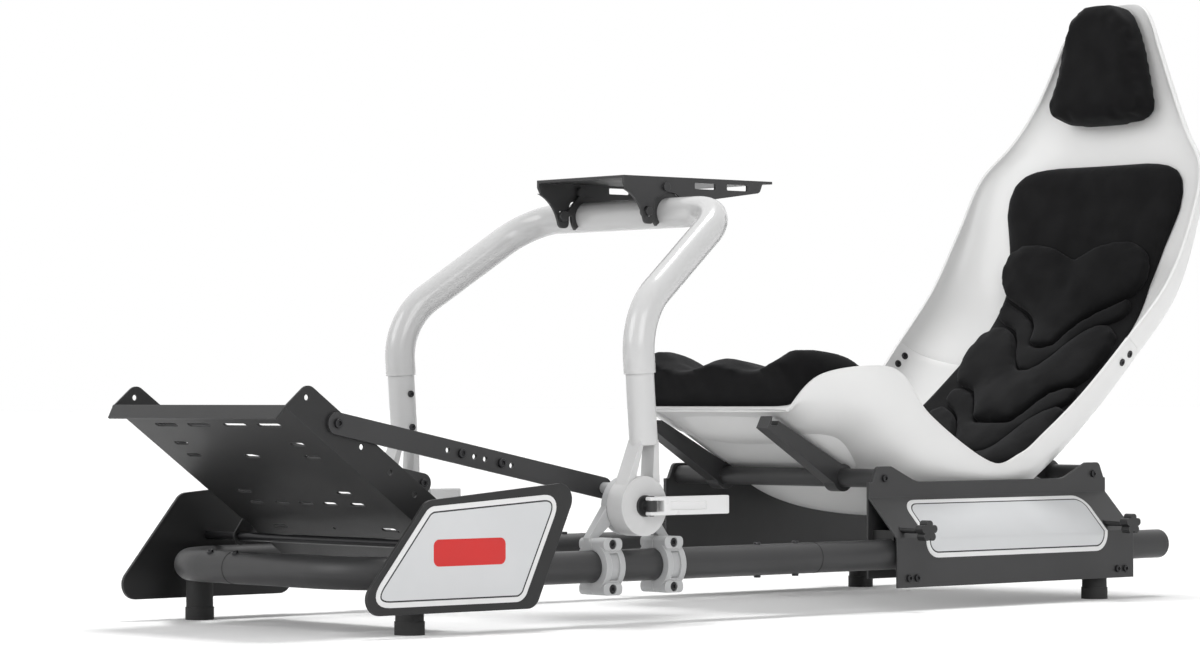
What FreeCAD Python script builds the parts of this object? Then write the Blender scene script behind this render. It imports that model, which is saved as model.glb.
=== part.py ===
"""A sim racing cockpit: a tube frame with a pedal deck, a tilting wheel hoop and a bucket seat on slides.

X runs forward, Y to the driver's left and Z up, in millimetres. The origin is on the floor, under the
middle of the cockpit's length.
"""
import FreeCAD, Part
import math
import os

V = FreeCAD.Vector

SIZES = [
    # tube frame and feet
    ("rail_dia", 45, "outside diameter of the floor tubes"),
    ("tube_wall", 2.5, "wall of every tube"),
    ("rail_gauge", 258, "rail centre line from the middle plane"),
    ("rail_height", 82, "rail centre line above the floor"),
    ("rail_rear", -738, "rear end of the rails"),
    ("splice_at", 22, "joint between rail and nose tube"),
    ("nose_at", 826, "centre line of the nose tube's cross run"),
    ("nose_bend", 130, "bend radius of the nose tube"),
    ("foot_dia", 41, "diameter of a foot"),
    ("foot_pad", 18, "height of a foot's rubber pad"),
    ("rear_foot_at", -591, "rear feet along the rails"),
    ("front_foot_turn", 61.5, "front feet round the nose bend, in degrees from straight ahead"),
    ("slack", 0.3, "running clearance"),
    # nose boards
    ("board_thick", 5, "thickness of a nose board"),
    ("board_front", 888, "foremost point of a nose board"),
    ("board_rear", 495, "rearmost point of a nose board"),
    ("board_low", 30, "lower edge of a nose board"),
    ("board_high", 202, "upper edge of a nose board"),
    ("board_front_rise", 150, "height of a nose board's front edge"),
    ("board_front_lean", 125, "how far that front edge leans back"),
    ("board_rear_lean", 79, "how far a nose board's rear edge leans back"),
    ("board_round", 22, "corner radius of a nose board"),
    ("board_toe_round", 22, "radius of a nose board's front lower corner"),
    # pedal deck, its axle and struts
    ("pedal_foot_x", 640, "lower edge of the pedal deck, forward"),
    ("pedal_foot_z", 13, "lower edge of the pedal deck above the rails' centre line"),
    ("pedal_slope", 36, "slope of the pedal deck in degrees"),
    ("pedal_length", 362, "length of the pedal deck up its slope"),
    ("pedal_half", 202, "half the width of the pedal deck"),
    ("pedal_flange", 45, "height of the pedal deck's side flanges"),
    ("pedal_sheet", 3, "sheet of the pedal deck"),
    ("pedal_lip", 22, "depth of the lip folded down at the pedal deck's top"),
    ("pedal_lip_in", 6, "how far that lip narrows on each side"),
    ("pedal_ear_lean", 12, "how far a flange's upper end leans back"),
    ("hole_line", 28, "flange holes above the deck"),
    ("strut_hole_at", 281, "strut bolt up the slope"),
    ("axle_dia", 12, "pedal axle"),
    ("axle_drop", 26, "pedal axle below the deck's sheet"),
    ("axle_in", 76, "pedal axle up the slope from the deck's lower edge"),
    ("slot_wide", 8, "width of the pedal deck's slots"),
    ("pilot_dia", 6, "small holes in the pedal deck"),
    ("strut_wide", 30, "width of a strut"),
    ("strut_thick", 5, "thickness of a strut"),
    ("bolt_dia", 8, "ordinary bolt"),
    # pivot castings
    ("pivot_x", 376, "hoop pivot, forward"),
    ("pivot_z", 165, "hoop pivot, up"),
    ("hoop_half", 270, "hoop uprights from the middle plane"),
    ("cheek_thick", 12, "thickness of the casting's cheek"),
    ("cheek_round", 41, "radius of the casting's cheek"),
    ("cheek_gap", 1, "side clearance between the cheek and the knuckle"),
    ("leg_wide", 17, "width of a casting's leg"),
    ("disc_thick", 32, "thickness of the knuckle's disc"),
    ("disc_round", 42, "radius of the knuckle's disc"),
    ("prong_deep", 26, "depth of the knuckle's prongs across the cockpit"),
    ("prong_thick", 7, "thickness of the knuckle's prongs along the cockpit"),
    ("collar_round", 15, "radius of the pin's collar on the knuckle"),
    ("collar_high", 3, "height of the pin's collar"),
    ("pin_dia", 14, "pivot pin"),
    ("clamp_reach", 57, "clamps from the pivot, along the rail"),
    ("clamp_wide", 34, "width of a clamp"),
    ("clamp_wall", 11, "wall of a clamp"),
    ("clamp_lug", 17, "height of a clamp's screw lug"),
    ("clamp_lug_thick", 26, "thickness of a clamp's screw lug"),
    ("clamp_lug_round", 7, "corner radius of a clamp's screw lug"),
    ("screw_sink", 6, "depth of the sunk seat of a clamp's screw"),
    ("cap_pocket_wide", 15, "width of the pocket round a cap"),
    ("cap_pocket_high", 38, "height of the pocket round a cap"),
    ("cap_pocket_deep", 4, "depth of the pocket round a cap"),
    ("strut_end_x", 6, "strut's rear bolt forward of the pivot"),
    ("strut_end_z", 24, "strut's rear bolt above the pivot"),
    # wheel hoop
    ("hoop_dia", 45, "outside diameter of the hoop tube"),
    ("hoop_foot_z", 350, "lower end of the hoop tube"),
    ("stub_foot_x", 363, "lower end of the knuckle's stub, forward"),
    ("stub_foot_z", 250, "lower end of the knuckle's stub"),
    ("stub_in", 10, "how far the stub reaches into the hoop tube"),
    ("hoop_knee_x", 376, "corner between upright and arm, forward"),
    ("hoop_knee_z", 432, "corner between upright and arm, up"),
    ("hoop_top_x", 156, "cross tube of the hoop, forward"),
    ("hoop_top_z", 587, "cross tube of the hoop, up"),
    ("hoop_top_half", 217, "corner of arm and cross tube from the middle plane"),
    ("knee_bend", 105, "bend radius at the knee"),
    ("top_bend", 75, "bend radius at the top corner"),
    # quick-release levers
    ("lever_long", 142, "length of a lever"),
    ("lever_high", 26, "height of a lever"),
    ("lever_thick", 13, "thickness of a lever"),
    ("lever_gap", 15, "lever's centre plane outside the knuckle's disc"),
    ("eye_wide", 15, "pivot eye inside the lever's fork"),
    # wheel deck
    ("deck_half", 98, "half the width of the wheel deck"),
    ("deck_front", 91, "front edge of the wheel deck, ahead of the cross tube"),
    ("deck_rear", -207, "rear edge of the wheel deck, ahead of the cross tube"),
    ("deck_top", 53, "top of the wheel deck above the cross tube"),
    ("deck_sheet", 4, "sheet of the wheel deck"),
    ("deck_pivot_x", 9, "wheel deck's pivot bolt ahead of the cross tube"),
    ("deck_pivot_z", 38, "wheel deck's pivot bolt above the cross tube"),
    ("deck_slot_x", 44, "wheel deck's slot bolt ahead of the cross tube"),
    ("deck_slot_z", 1, "wheel deck's slot bolt above the cross tube"),
    ("deck_tilt", 5, "wheel deck's tilt each way in degrees"),
    ("deck_clear", 8, "wheel deck's flanges off the hoop tube"),
    ("flange_deep", 30, "depth of the wheel deck's flanges"),
    ("flange_nose", 22, "depth of those flanges at the front edge"),
    ("flange_back", 20, "those flanges short of the rear edge"),
    ("window_long", 42, "length of a flange window"),
    ("window_high", 9, "height of a flange window"),
    ("window_drop", 7, "flange windows below the wheel deck's top"),
    ("window_back", 51, "first flange window from the rear edge"),
    ("window_step", 65, "spacing of the flange windows"),
    ("bracket_thick", 5, "hoop bracket plate"),
    ("bracket_turn", 40, "how far the bracket's grip on the cross tube is turned forward, in degrees"),
    ("wheel_hole_dia", 6.6, "wheel mounting holes"),
    ("wheel_hole_x", 66, "wheel mounting holes, spacing along X"),
    ("wheel_hole_y", 60, "wheel mounting holes, spacing along Y"),
    # seat slides
    ("slide_front", -124, "front edge of the slide plates"),
    ("slide_rear", -650, "rear edge of the slide plates"),
    ("slide_sheet", 3, "sheet of the slide plates"),
    ("slide_low", 49, "lower edge of the outer slide plate below the rail's centre line"),
    ("slide_shoulder", 25, "where the outer plate leans inward, above the rail's centre line"),
    ("slide_neck", 84, "where the ears begin, above the rail's centre line"),
    ("slide_saddle", 106, "upper edge between the ears, above the rail's centre line"),
    ("slide_gap", 3.5, "rail to outer plate"),
    ("ear_plane", 226, "meeting plane of the two plates at the ears"),
    ("ear_round", 18, "radius of an ear"),
    ("ear_ramp", 50, "length of the slope from an ear to the saddle"),
    ("glide_high", 13, "height of a glide above the rail"),
    ("glide_end", 10, "glide short of the plates' ends"),
    ("knob_dia", 32, "star knob"),
    ("knob_long", 16, "length of a star knob's head"),
    ("knob_out", 335, "outer face of a star knob from the middle plane"),
    ("knob_lobe", 6, "radius of a star knob's lobes"),
    ("front_knob_inset", 20, "front knobs in from the plates' front edge"),
    ("rear_knob_inset", 53, "rear knobs in from the plates' rear edge"),
    ("knob_height", 36, "knobs above the rail's centre line"),
    ("seat_tube_dia", 28, "cross tubes under the seat"),
    ("seat_tube_front", -156, "front cross tube"),
    ("seat_tube_rear", -621, "rear cross tube"),
    ("seat_tube_z", 112, "cross tubes above the rail's centre line"),
    ("arm_half", 130, "seat arms from the middle plane"),
    ("arm_thick", 24, "thickness of a seat arm"),
    ("arm_wide", 34, "width of a seat arm at its tube"),
    ("arm_top_wide", 20, "width of a seat arm at its upper end"),
    ("arm_top_x", -2, "upper end of a seat arm, forward"),
    ("arm_top_z", 197, "upper end of a seat arm above the rail's centre line"),
    ("clip_top_x", -560, "upper end of a rear clip, forward"),
    ("clip_top_z", 128, "upper end of a rear clip above the rail's centre line"),
    # seat
    ("shell_wall", 6, "wall of the seat shells"),
    ("bowl_power", 2.6, "squareness of the seat's cross-section"),
    ("pad_gap", 0.6, "pad off the shell"),
    ("pad_edge", 4, "thickness of a pad at its edges"),
    ("hump_pitch", 165, "spacing of the thigh cushion's humps"),
]

# Stations along the seat from its front lip to its top. Each gives the bowl's floor and its rim in the
# middle plane, as X and as Z above the rails' centre line, and the bowl's half width at the rim.
SEAT_STATIONS = [
    ("hem", -9, 194, -7, 194.4, 168),
    ("lip", -17, 220, -15.4, 221.6, 172),
    ("thigh", -72, 176, -50, 267, 199),
    ("wing", -140, 158, -125, 281, 233),
    ("heel", -205, 102, -190, 268, 229),
    ("hollow", -275, 66, -258, 206, 221),
    ("dip", -390, 52, -398, 134, 213),
    ("rear", -490, 60, -470, 146, 213),
    ("tail", -575, 106, -515, 178, 222),
    ("hip", -664, 186, -588, 240, 237),
    ("waist", -752, 278, -679, 327, 249),
    ("chest", -835, 372, -766, 415, 256),
    ("blade", -880, 486, -826, 512, 253),
    ("shoulder", -906, 589, -868, 602, 239),
    ("neck", -925, 659, -896, 667, 186),
    ("head", -938, 746, -915, 750, 136),
    ("crown", -940, 889, -928, 890, 72),
]

doc = FreeCAD.newDocument("RacingCockpit")
sheet = doc.addObject("Spreadsheet::Sheet", "Sizes")


def write_size(row, alias, value, meaning):
    """Put one driving dimension in the sheet."""
    sheet.set(f"A{row}", meaning)
    sheet.set(f"B{row}", str(value))
    sheet.setAlias(f"B{row}", alias)


for number, (alias, value, meaning) in enumerate(SIZES, start=1):
    write_size(number, alias, value, meaning)
STATION_FIELDS = ("floor_x", "floor_z", "rim_x", "rim_z", "half")
next_row = len(SIZES) + 1
for station in SEAT_STATIONS:
    for field, value in zip(STATION_FIELDS, station[1:]):
        write_size(next_row, f"{station[0]}_{field}", value, f"seat {station[0]} {field}")
        next_row += 1
doc.recompute()


def size(alias):
    """A driving dimension, as the sheet holds it."""
    return float(sheet.get(alias))


SIDES = (("left", 1), ("right", -1))
nodes = []


def node(item, label):
    """Name a finished sub-part and list it for writing."""
    item.Label = label
    nodes.append(item)
    return item


def bind(item, **sizes):
    """Tie properties of an object to cells of the sheet."""
    for name, expression in sizes.items():
        item.setExpression(name, expression)


def place(item, x="0", y="0", z="0"):
    """Tie the position of an object to cells of the sheet."""
    for axis, expression in zip("xyz", (x, y, z)):
        item.setExpression(f".Placement.Base.{axis}", expression)


ALONG_X = FreeCAD.Rotation(V(0, 1, 0), 90)
ALONG_Y = FreeCAD.Rotation(V(1, 0, 0), -90)
ALONG_Z = FreeCAD.Rotation()


def rod(name, rotation, radius, length, x, y, z):
    """A round bar from a point, along one axis, tied to the sheet."""
    bar = doc.addObject("Part::Cylinder", name)
    bar.Placement = FreeCAD.Placement(V(), rotation)
    bind(bar, Radius=radius, Height=length)
    place(bar, x, y, z)
    return bar


def cut(name, base, tool):
    """One object less another."""
    result = doc.addObject("Part::Cut", name)
    result.Base = base
    result.Tool = tool
    return result


def fuse(name, items):
    """Several objects as one solid."""
    result = doc.addObject("Part::MultiFuse", name)
    result.Shapes = items
    result.Refine = True
    return result


def rounded_loop(corners):
    """Edges of a closed outline whose corners (x, y, radius) are rounded off."""
    count = len(corners)
    joins = []
    for index, (x, y, radius) in enumerate(corners):
        here = V(x, y, 0)
        back = V(*corners[index - 1][:2], 0) - here
        ahead = V(*corners[(index + 1) % count][:2], 0) - here
        half_turn = back.getAngle(ahead) / 2
        reach = radius / math.tan(half_turn)
        entry = here + back.normalize() * reach
        leave = here + ahead.normalize() * reach
        middle = (back + ahead).normalize() * (radius / math.sin(half_turn) - radius)
        joins.append((entry, here + middle, leave, radius))
    edges = []
    for index, (entry, middle, leave, radius) in enumerate(joins):
        if radius > 0:
            edges.append(Part.Arc(entry, middle, leave))
        edges.append(Part.LineSegment(leave, joins[(index + 1) % count][0]))
    return edges


def round_hole(x, y, diameter):
    """Edges of a round hole."""
    return [Part.Circle(V(x, y, 0), V(0, 0, 1), diameter / 2)]


def slot_hole(x, y, diameter, length, angle):
    """Edges of a slot with round ends, end to end of the given length."""
    along = V(math.cos(math.radians(angle)), math.sin(math.radians(angle)), 0)
    across = V(-along.y, along.x, 0) * (diameter / 2)
    tip = along * (length / 2)
    centre = V(x, y, 0)
    run = along * (length / 2 - diameter / 2)
    return [
        Part.LineSegment(centre - run + across, centre + run + across),
        Part.Arc(centre + run + across, centre + tip, centre + run - across),
        Part.LineSegment(centre + run - across, centre - run - across),
        Part.Arc(centre - run - across, centre - tip, centre - run + across),
    ]


def plate(name, plane, loops, thickness):
    """A flat plate about one origin plane, from an outline and its holes."""
    body = doc.addObject("PartDesign::Body", name)
    support = next(item for item in body.Origin.OriginFeatures if item.Role == plane)
    sketch = body.newObject("Sketcher::SketchObject", f"{name}_outline")
    sketch.AttachmentSupport = [(support, "")]
    sketch.MapMode = "FlatFace"
    for loop in loops:
        sketch.addGeometry(loop)
    pad = body.newObject("PartDesign::Pad", f"{name}_pad")
    pad.Profile = sketch
    pad.Midplane = True
    pad.setExpression("Length", thickness)
    return body


def shape_node(label, shape):
    """A sub-part whose shape is worked out from the sheet in this script."""
    item = doc.addObject("Part::Feature", label)
    item.Shape = shape
    return node(item, label)


def bent_path(points, radii):
    """A wire of straight runs joined by tangent arcs at the inner points."""
    edges = []
    start = points[0]
    for index in range(1, len(points) - 1):
        corner = points[index]
        back = (points[index - 1] - corner).normalize()
        ahead = (points[index + 1] - corner).normalize()
        half_turn = back.getAngle(ahead) / 2
        radius = radii[index - 1]
        reach = radius / math.tan(half_turn)
        middle = corner + (back + ahead).normalize() * (radius / math.sin(half_turn) - radius)
        edges.append(Part.LineSegment(start, corner + back * reach).toShape())
        edges.append(Part.Arc(corner + back * reach, middle, corner + ahead * reach).toShape())
        start = corner + ahead * reach
    edges.append(Part.LineSegment(start, points[-1]).toShape())
    return Part.Wire(edges)


def bent_tube(points, radii, outside, wall):
    """A hollow tube along a bent path."""
    path = bent_path(points, radii)
    heading = points[1] - points[0]
    skins = []
    for radius in (outside / 2, outside / 2 - wall):
        ring = Part.Wire(Part.makeCircle(radius, points[0], heading))
        skins.append(path.makePipeShell([ring], True, True))
    return skins[0].cut(skins[1])


# The two rails run level from the seat to the splice, and each is a plain tube.
for side, sign in SIDES:
    outer = rod(f"rail_{side}_outside", ALONG_X, "Sizes.rail_dia / 2", "Sizes.splice_at - Sizes.rail_rear",
                "Sizes.rail_rear", f"{sign} * Sizes.rail_gauge", "Sizes.rail_height")
    inner = rod(f"rail_{side}_inside", ALONG_X, "Sizes.rail_dia / 2 - Sizes.tube_wall",
                "Sizes.splice_at - Sizes.rail_rear",
                "Sizes.rail_rear", f"{sign} * Sizes.rail_gauge", "Sizes.rail_height")
    node(cut(f"rail_{side}_tube", outer, inner), f"rail_{side}")

# The nose tube carries both rails on, bends in and closes the frame across the front.
nose_points = [
    V(size("splice_at"), size("rail_gauge"), size("rail_height")),
    V(size("nose_at"), size("rail_gauge"), size("rail_height")),
    V(size("nose_at"), -size("rail_gauge"), size("rail_height")),
    V(size("splice_at"), -size("rail_gauge"), size("rail_height")),
]
shape_node("nose_tube", bent_tube(nose_points, [size("nose_bend")] * 2, size("rail_dia"), size("tube_wall")))

# Four round feet stand under the rails and the nose bends. Each is a stub on a wider rubber pad.
front_foot_x = "Sizes.nose_at - Sizes.nose_bend * (1 - cos(Sizes.front_foot_turn * 1deg))"
front_foot_y = "(Sizes.rail_gauge - Sizes.nose_bend * (1 - sin(Sizes.front_foot_turn * 1deg)))"
FEET = (("rear", "Sizes.rear_foot_at", "Sizes.rail_gauge"), ("front", front_foot_x, front_foot_y))
for end, foot_x, foot_y in FEET:
    for side, sign in SIDES:
        name = f"foot_{end}_{side}"
        stub = rod(f"{name}_stub", ALONG_Z, "Sizes.foot_dia / 2 - Sizes.tube_wall / 2", "Sizes.rail_height",
                   foot_x, f"{sign} * {foot_y}", "0")
        pad = rod(f"{name}_pad", ALONG_Z, "Sizes.foot_dia / 2", "Sizes.foot_pad",
                  foot_x, f"{sign} * {foot_y}", "0")
        whole = fuse(f"{name}_whole", [stub, pad])
        if end == "rear":
            bed = rod(f"{name}_bed", ALONG_X, "Sizes.rail_dia / 2", "Sizes.foot_dia * 2",
                      f"{foot_x} - Sizes.foot_dia", f"{sign} * {foot_y}", "Sizes.rail_height")
        else:
            bed = doc.addObject("Part::Torus", f"{name}_bed")
            bind(bed, Radius1="Sizes.nose_bend", Radius2="Sizes.rail_dia / 2")
            place(bed, "Sizes.nose_at - Sizes.nose_bend",
                  f"{sign} * (Sizes.rail_gauge - Sizes.nose_bend)", "Sizes.rail_height")
        node(cut(f"{name}_cut", whole, bed), name)

# A flat board stands outside each side of the nose, with a forward-leaning front edge.
board_loop = rounded_loop([
    (size("board_front"), size("board_low"), size("board_toe_round")),
    (size("board_front") - size("board_front_lean"), size("board_low") + size("board_front_rise"),
     size("board_round")),
    (size("board_rear"), size("board_high"), size("board_round")),
    (size("board_rear") + size("board_rear_lean"), size("board_low"), size("board_round")),
])
board_side = "(Sizes.rail_gauge + Sizes.rail_dia / 2 + Sizes.slack + Sizes.board_thick / 2)"
pedal_turn = FreeCAD.Rotation(V(0, 1, 0), -size("pedal_slope"))
pedal_frame = FreeCAD.Placement(V(size("pedal_foot_x"), 0, size("rail_height") + size("pedal_foot_z")), pedal_turn)
axle_local = V(size("axle_in"), 0, -size("axle_drop"))
axle_spot = pedal_frame.multVec(axle_local)
for side, sign in SIDES:
    axle_hole = round_hole(axle_spot.x, axle_spot.z, size("axle_dia"))
    board = plate(f"board_{side}", "XZ_Plane", [board_loop, axle_hole], "Sizes.board_thick")
    place(board, y=f"{sign} * {board_side}")
    node(board, f"nose_board_{side}")

# The pedal axle joins the two boards and carries the pedal deck's lower end.
axle_reach = "(Sizes.rail_gauge + Sizes.rail_dia / 2 + Sizes.slack + Sizes.board_thick)"
slope = "(Sizes.pedal_slope * 1deg)"
axle = rod("axle_bar", ALONG_Y, "Sizes.axle_dia / 2", f"2 * {axle_reach}",
           f"Sizes.pedal_foot_x + Sizes.axle_in * cos({slope}) + Sizes.axle_drop * sin({slope})",
           f"-{axle_reach}",
           f"Sizes.rail_height + Sizes.pedal_foot_z + Sizes.axle_in * sin({slope}) - Sizes.axle_drop * cos({slope})")
node(axle, "pedal_axle")

# The pedal deck is one folded sheet: a sloping deck, two side flanges and a lip folded down at the top.
# Its own X runs up the slope from the lower edge and its own Z stands off the deck. Rows of slots take the
# pedals: each row has its place, the length of its slots and their places from the middle.
TOP_SLOT_ROWS = ((43, 52, (42, 120)), (87, 31, (135,)), (116, 33, (0, 137)))
LOW_SLOT_ROWS = ((160, 31, (116,)), (133, 30, (0, 55, 117)), (73, 32, (125,)))
PILOT_HOLES = ((72, 0), (70, 142), (39, 144))
FLANGE_HOLES = (116, 168, 227)
EAR_HOLE_DROP = 22


def pedal_deck_cuts():
    """The slots and small holes of the sloping sheet."""
    thick = size("pedal_sheet")
    rows = [(size("pedal_length") - down, long, spots) for down, long, spots in TOP_SLOT_ROWS]
    loops = []
    for along, long, spots in rows + list(LOW_SLOT_ROWS):
        for spot in sorted({sign * spot for spot in spots for _, sign in SIDES}):
            loops.append(slot_hole(along, spot, size("slot_wide"), long, 90))
    for along, across in PILOT_HOLES:
        for spot in sorted({sign * across for _, sign in SIDES}):
            loops.append(round_hole(along, spot, size("pilot_dia")))
    cutters = []
    for loop in loops:
        face = Part.Face(Part.Wire([edge.toShape() for edge in loop]))
        face.translate(V(0, 0, -2 * thick))
        cutters.append(face.extrude(V(0, 0, 3 * thick)))
    return cutters


def pedal_deck_shape():
    """The folded sheet in its own frame."""
    half = size("pedal_half")
    thick = size("pedal_sheet")
    length = size("pedal_length")
    flange = size("pedal_flange")
    lip = size("pedal_lip")
    lip_half = half - size("pedal_lip_in")
    deck = Part.makeBox(length, 2 * half, thick, V(0, -half, -thick))
    lip_corners = [V(length - thick, -half, 0), V(length - thick, half, 0),
                   V(length - thick, lip_half, -lip), V(length - thick, -lip_half, -lip)]
    lip_face = Part.Face(Part.makePolygon(lip_corners + lip_corners[:1]))
    solid = deck.cut(pedal_deck_cuts()).fuse(lip_face.extrude(V(thick, 0, 0)))
    flange_loop = rounded_loop([
        (0, -thick, 0),
        (length, -thick, 0),
        (length - size("pedal_ear_lean"), flange, flange / 3),
        (0, flange, flange / 4),
    ])
    flange_face = Part.Face(Part.Wire([edge.toShape() for edge in flange_loop]))
    lug_round = size("axle_dia")
    bolt_spots = FLANGE_HOLES + (size("strut_hole_at"), length - EAR_HOLE_DROP)
    for _, sign in SIDES:
        inner_y = sign * half - (thick if sign > 0 else 0)
        wall = flange_face.copy()
        wall.rotate(V(), V(1, 0, 0), 90)
        wall.translate(V(0, inner_y + thick, 0))
        lug = Part.makeCylinder(lug_round, thick, V(axle_local.x, inner_y, axle_local.z), V(0, 1, 0))
        neck = Part.makeBox(2 * lug_round, thick, -axle_local.z,
                            V(axle_local.x - lug_round, inner_y, axle_local.z))
        solid = solid.fuse([wall.extrude(V(0, -thick, 0)), lug, neck])
        holes = [Part.makeCylinder(size("axle_dia") / 2, 3 * thick,
                                   V(axle_local.x, inner_y - thick, axle_local.z), V(0, 1, 0))]
        for spot in bolt_spots:
            holes.append(Part.makeCylinder(size("bolt_dia") / 2, 3 * thick,
                                           V(spot, inner_y - thick, size("hole_line")), V(0, 1, 0)))
        solid = solid.cut(holes)
    return solid.removeSplitter()


pedal_deck = shape_node("pedal_deck", pedal_deck_shape())
pedal_deck.Placement = pedal_frame

# A flat strut on each side ties the pedal deck's flange to the pivot casting.
strut_front = pedal_frame.multVec(V(size("strut_hole_at"), 0, size("hole_line")))
strut_rear = V(size("pivot_x") + size("strut_end_x"), 0, size("pivot_z") + size("strut_end_z"))
strut_run = strut_front - strut_rear
strut_angle = math.degrees(math.atan2(strut_run.z, strut_run.x))
STRUT_HOLES = (0.6, 0.55, 0.5, 0.46, 0.4, 0.36)
half_strut = size("strut_wide") / 2
strut_loop = rounded_loop([
    (-half_strut, -half_strut, half_strut * 0.98),
    (strut_run.Length + half_strut, -half_strut, half_strut * 0.98),
    (strut_run.Length + half_strut, half_strut, half_strut * 0.98),
    (-half_strut, half_strut, half_strut * 0.98),
])
strut_holes = [round_hole(strut_run.Length * share, 0, size("bolt_dia")) for share in (0, 1) + STRUT_HOLES]
strut_side = "(Sizes.pedal_half + Sizes.strut_thick / 2)"
for side, sign in SIDES:
    strut = plate(f"strut_{side}", "XZ_Plane", [strut_loop] + strut_holes, "Sizes.strut_thick")
    strut.Placement = FreeCAD.Placement(V(), FreeCAD.Rotation(V(0, 1, 0), -strut_angle))
    place(strut, "Sizes.pivot_x + Sizes.strut_end_x", f"{sign} * {strut_side}",
          "Sizes.pivot_z + Sizes.strut_end_z")
    node(strut, f"pedal_strut_{side}")


# Each pivot casting stands on the rail: a round cheek holds the pivot, two legs flare from it to two jaws
# that grip the tube, and a boss on the cheek takes the strut. A cap closes each jaw from outside.
def pivot_base_shape():
    """The left casting."""
    rail_y = size("rail_gauge")
    rail_z = size("rail_height")
    rail_r = size("rail_dia") / 2
    wall = size("clamp_wall")
    wide = size("clamp_wide")
    lug = size("clamp_lug")
    pivot = V(size("pivot_x"), size("hoop_half"), size("pivot_z"))
    cheek = size("cheek_thick")
    cheek_r = size("cheek_round")
    inner_y = pivot.y - size("disc_thick") / 2 - size("cheek_gap") - cheek
    shelf_z = rail_z + rail_r + lug / 2
    lug_thick = size("clamp_lug_thick")
    inner_edge = rail_y - rail_r - wall
    pieces = [Part.makeCylinder(cheek_r, cheek, V(pivot.x, inner_y, pivot.z), V(0, 1, 0))]
    for sign in (1, -1):
        mid_x = pivot.x + sign * size("clamp_reach")
        low_x = mid_x - wide / 2
        end_x = mid_x + sign * wide / 2
        leg_x = end_x - sign * size("leg_wide")
        leg = Part.makePolygon([
            V(end_x, inner_y, shelf_z),
            V(end_x, inner_y, shelf_z + lug / 2),
            V(pivot.x + sign * cheek_r, inner_y, pivot.z),
            V(pivot.x, inner_y, pivot.z),
            V(leg_x, inner_y, shelf_z + lug / 2),
            V(leg_x, inner_y, shelf_z),
            V(end_x, inner_y, shelf_z),
        ])
        jaw = Part.makeCylinder(rail_r + wall, wide, V(low_x, rail_y, rail_z), V(1, 0, 0))
        keep = Part.makeBox(wide, rail_r + wall, 4 * rail_r, V(low_x, inner_edge, rail_z - 2 * rail_r))
        pieces += [Part.Face(leg).extrude(V(0, cheek, 0)), jaw.common(keep)]
        for low_z in (rail_z + rail_r, rail_z - rail_r - lug):
            ear = Part.makeBox(wide, lug_thick, lug, V(low_x, rail_y - lug_thick, low_z))
            along = [edge for edge in ear.Edges if abs(edge.tangentAt(edge.FirstParameter).y) > 0.5]
            pieces.append(ear.makeFillet(size("clamp_lug_round"), along))
    boss_end = size("pedal_half") + size("strut_thick")
    boss = Part.makeCylinder(size("bolt_dia"), inner_y - boss_end,
                             V(strut_rear.x, boss_end, strut_rear.z), V(0, 1, 0))
    stud = Part.makeCylinder(size("bolt_dia") / 2, inner_y - size("pedal_half"),
                             V(strut_rear.x, size("pedal_half"), strut_rear.z), V(0, 1, 0))
    solid = pieces[0].fuse(pieces[1:] + [boss, stud])
    rail = Part.makeCylinder(rail_r, 4 * size("clamp_reach"),
                             V(pivot.x - 2 * size("clamp_reach"), rail_y, rail_z), V(1, 0, 0))
    pin = Part.makeCylinder(size("pin_dia") / 2 + size("slack"), 3 * cheek,
                            V(pivot.x, inner_y - cheek, pivot.z), V(0, 1, 0))
    return solid.cut([rail, pin]).removeSplitter()


def clamp_cap_shape(sign_x):
    """One cap of the left casting, with the sunk seats of its two screws."""
    rail_y = size("rail_gauge")
    rail_z = size("rail_height")
    rail_r = size("rail_dia") / 2
    cap_r = rail_r + size("clamp_wall")
    wide = size("clamp_wide")
    lug = size("clamp_lug")
    lug_thick = size("clamp_lug_thick")
    mid_x = size("pivot_x") + sign_x * size("clamp_reach")
    low_x = mid_x - wide / 2
    seam = rail_y + size("slack")
    ring = Part.makeCylinder(cap_r, wide, V(low_x, rail_y, rail_z), V(1, 0, 0))
    keep = Part.makeBox(wide, cap_r, 4 * rail_r, V(low_x, seam, rail_z - 2 * rail_r))
    solid = ring.common(keep)
    seats = []
    for low_z in (rail_z + rail_r, rail_z - rail_r - lug):
        ear = Part.makeBox(wide, lug_thick, lug, V(low_x, seam, low_z))
        along = [edge for edge in ear.Edges if abs(edge.tangentAt(edge.FirstParameter).y) > 0.5]
        solid = solid.fuse(ear.makeFillet(size("clamp_lug_round"), along))
        seats.append(Part.makeCylinder(size("bolt_dia") * 0.85, 2 * size("screw_sink"),
                                       V(mid_x, seam + lug_thick - size("screw_sink"), low_z + lug / 2),
                                       V(0, 1, 0)))
    pocket_wide = size("cap_pocket_wide")
    pocket_high = size("cap_pocket_high")
    pocket = Part.makeBox(pocket_wide, 2 * cap_r, pocket_high,
                          V(mid_x - pocket_wide / 2, rail_y, rail_z - pocket_high / 2))
    core = Part.makeCylinder(cap_r - size("cap_pocket_deep"), wide, V(low_x, rail_y, rail_z), V(1, 0, 0))
    rail = Part.makeCylinder(rail_r, 2 * wide, V(low_x - wide / 2, rail_y, rail_z), V(1, 0, 0))
    return solid.cut([rail, pocket.cut(core)] + seats).removeSplitter()


def mirrored(shape, sign):
    """The shape itself for the left, or its mirror image for the right."""
    return shape if sign > 0 else shape.mirror(V(), V(0, 1, 0))


for side, sign in SIDES:
    shape_node(f"pivot_base_{side}", mirrored(pivot_base_shape(), sign))
    for end, sign_x in (("front", 1), ("rear", -1)):
        shape_node(f"clamp_cap_{end}_{side}", mirrored(clamp_cap_shape(sign_x), sign))

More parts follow.
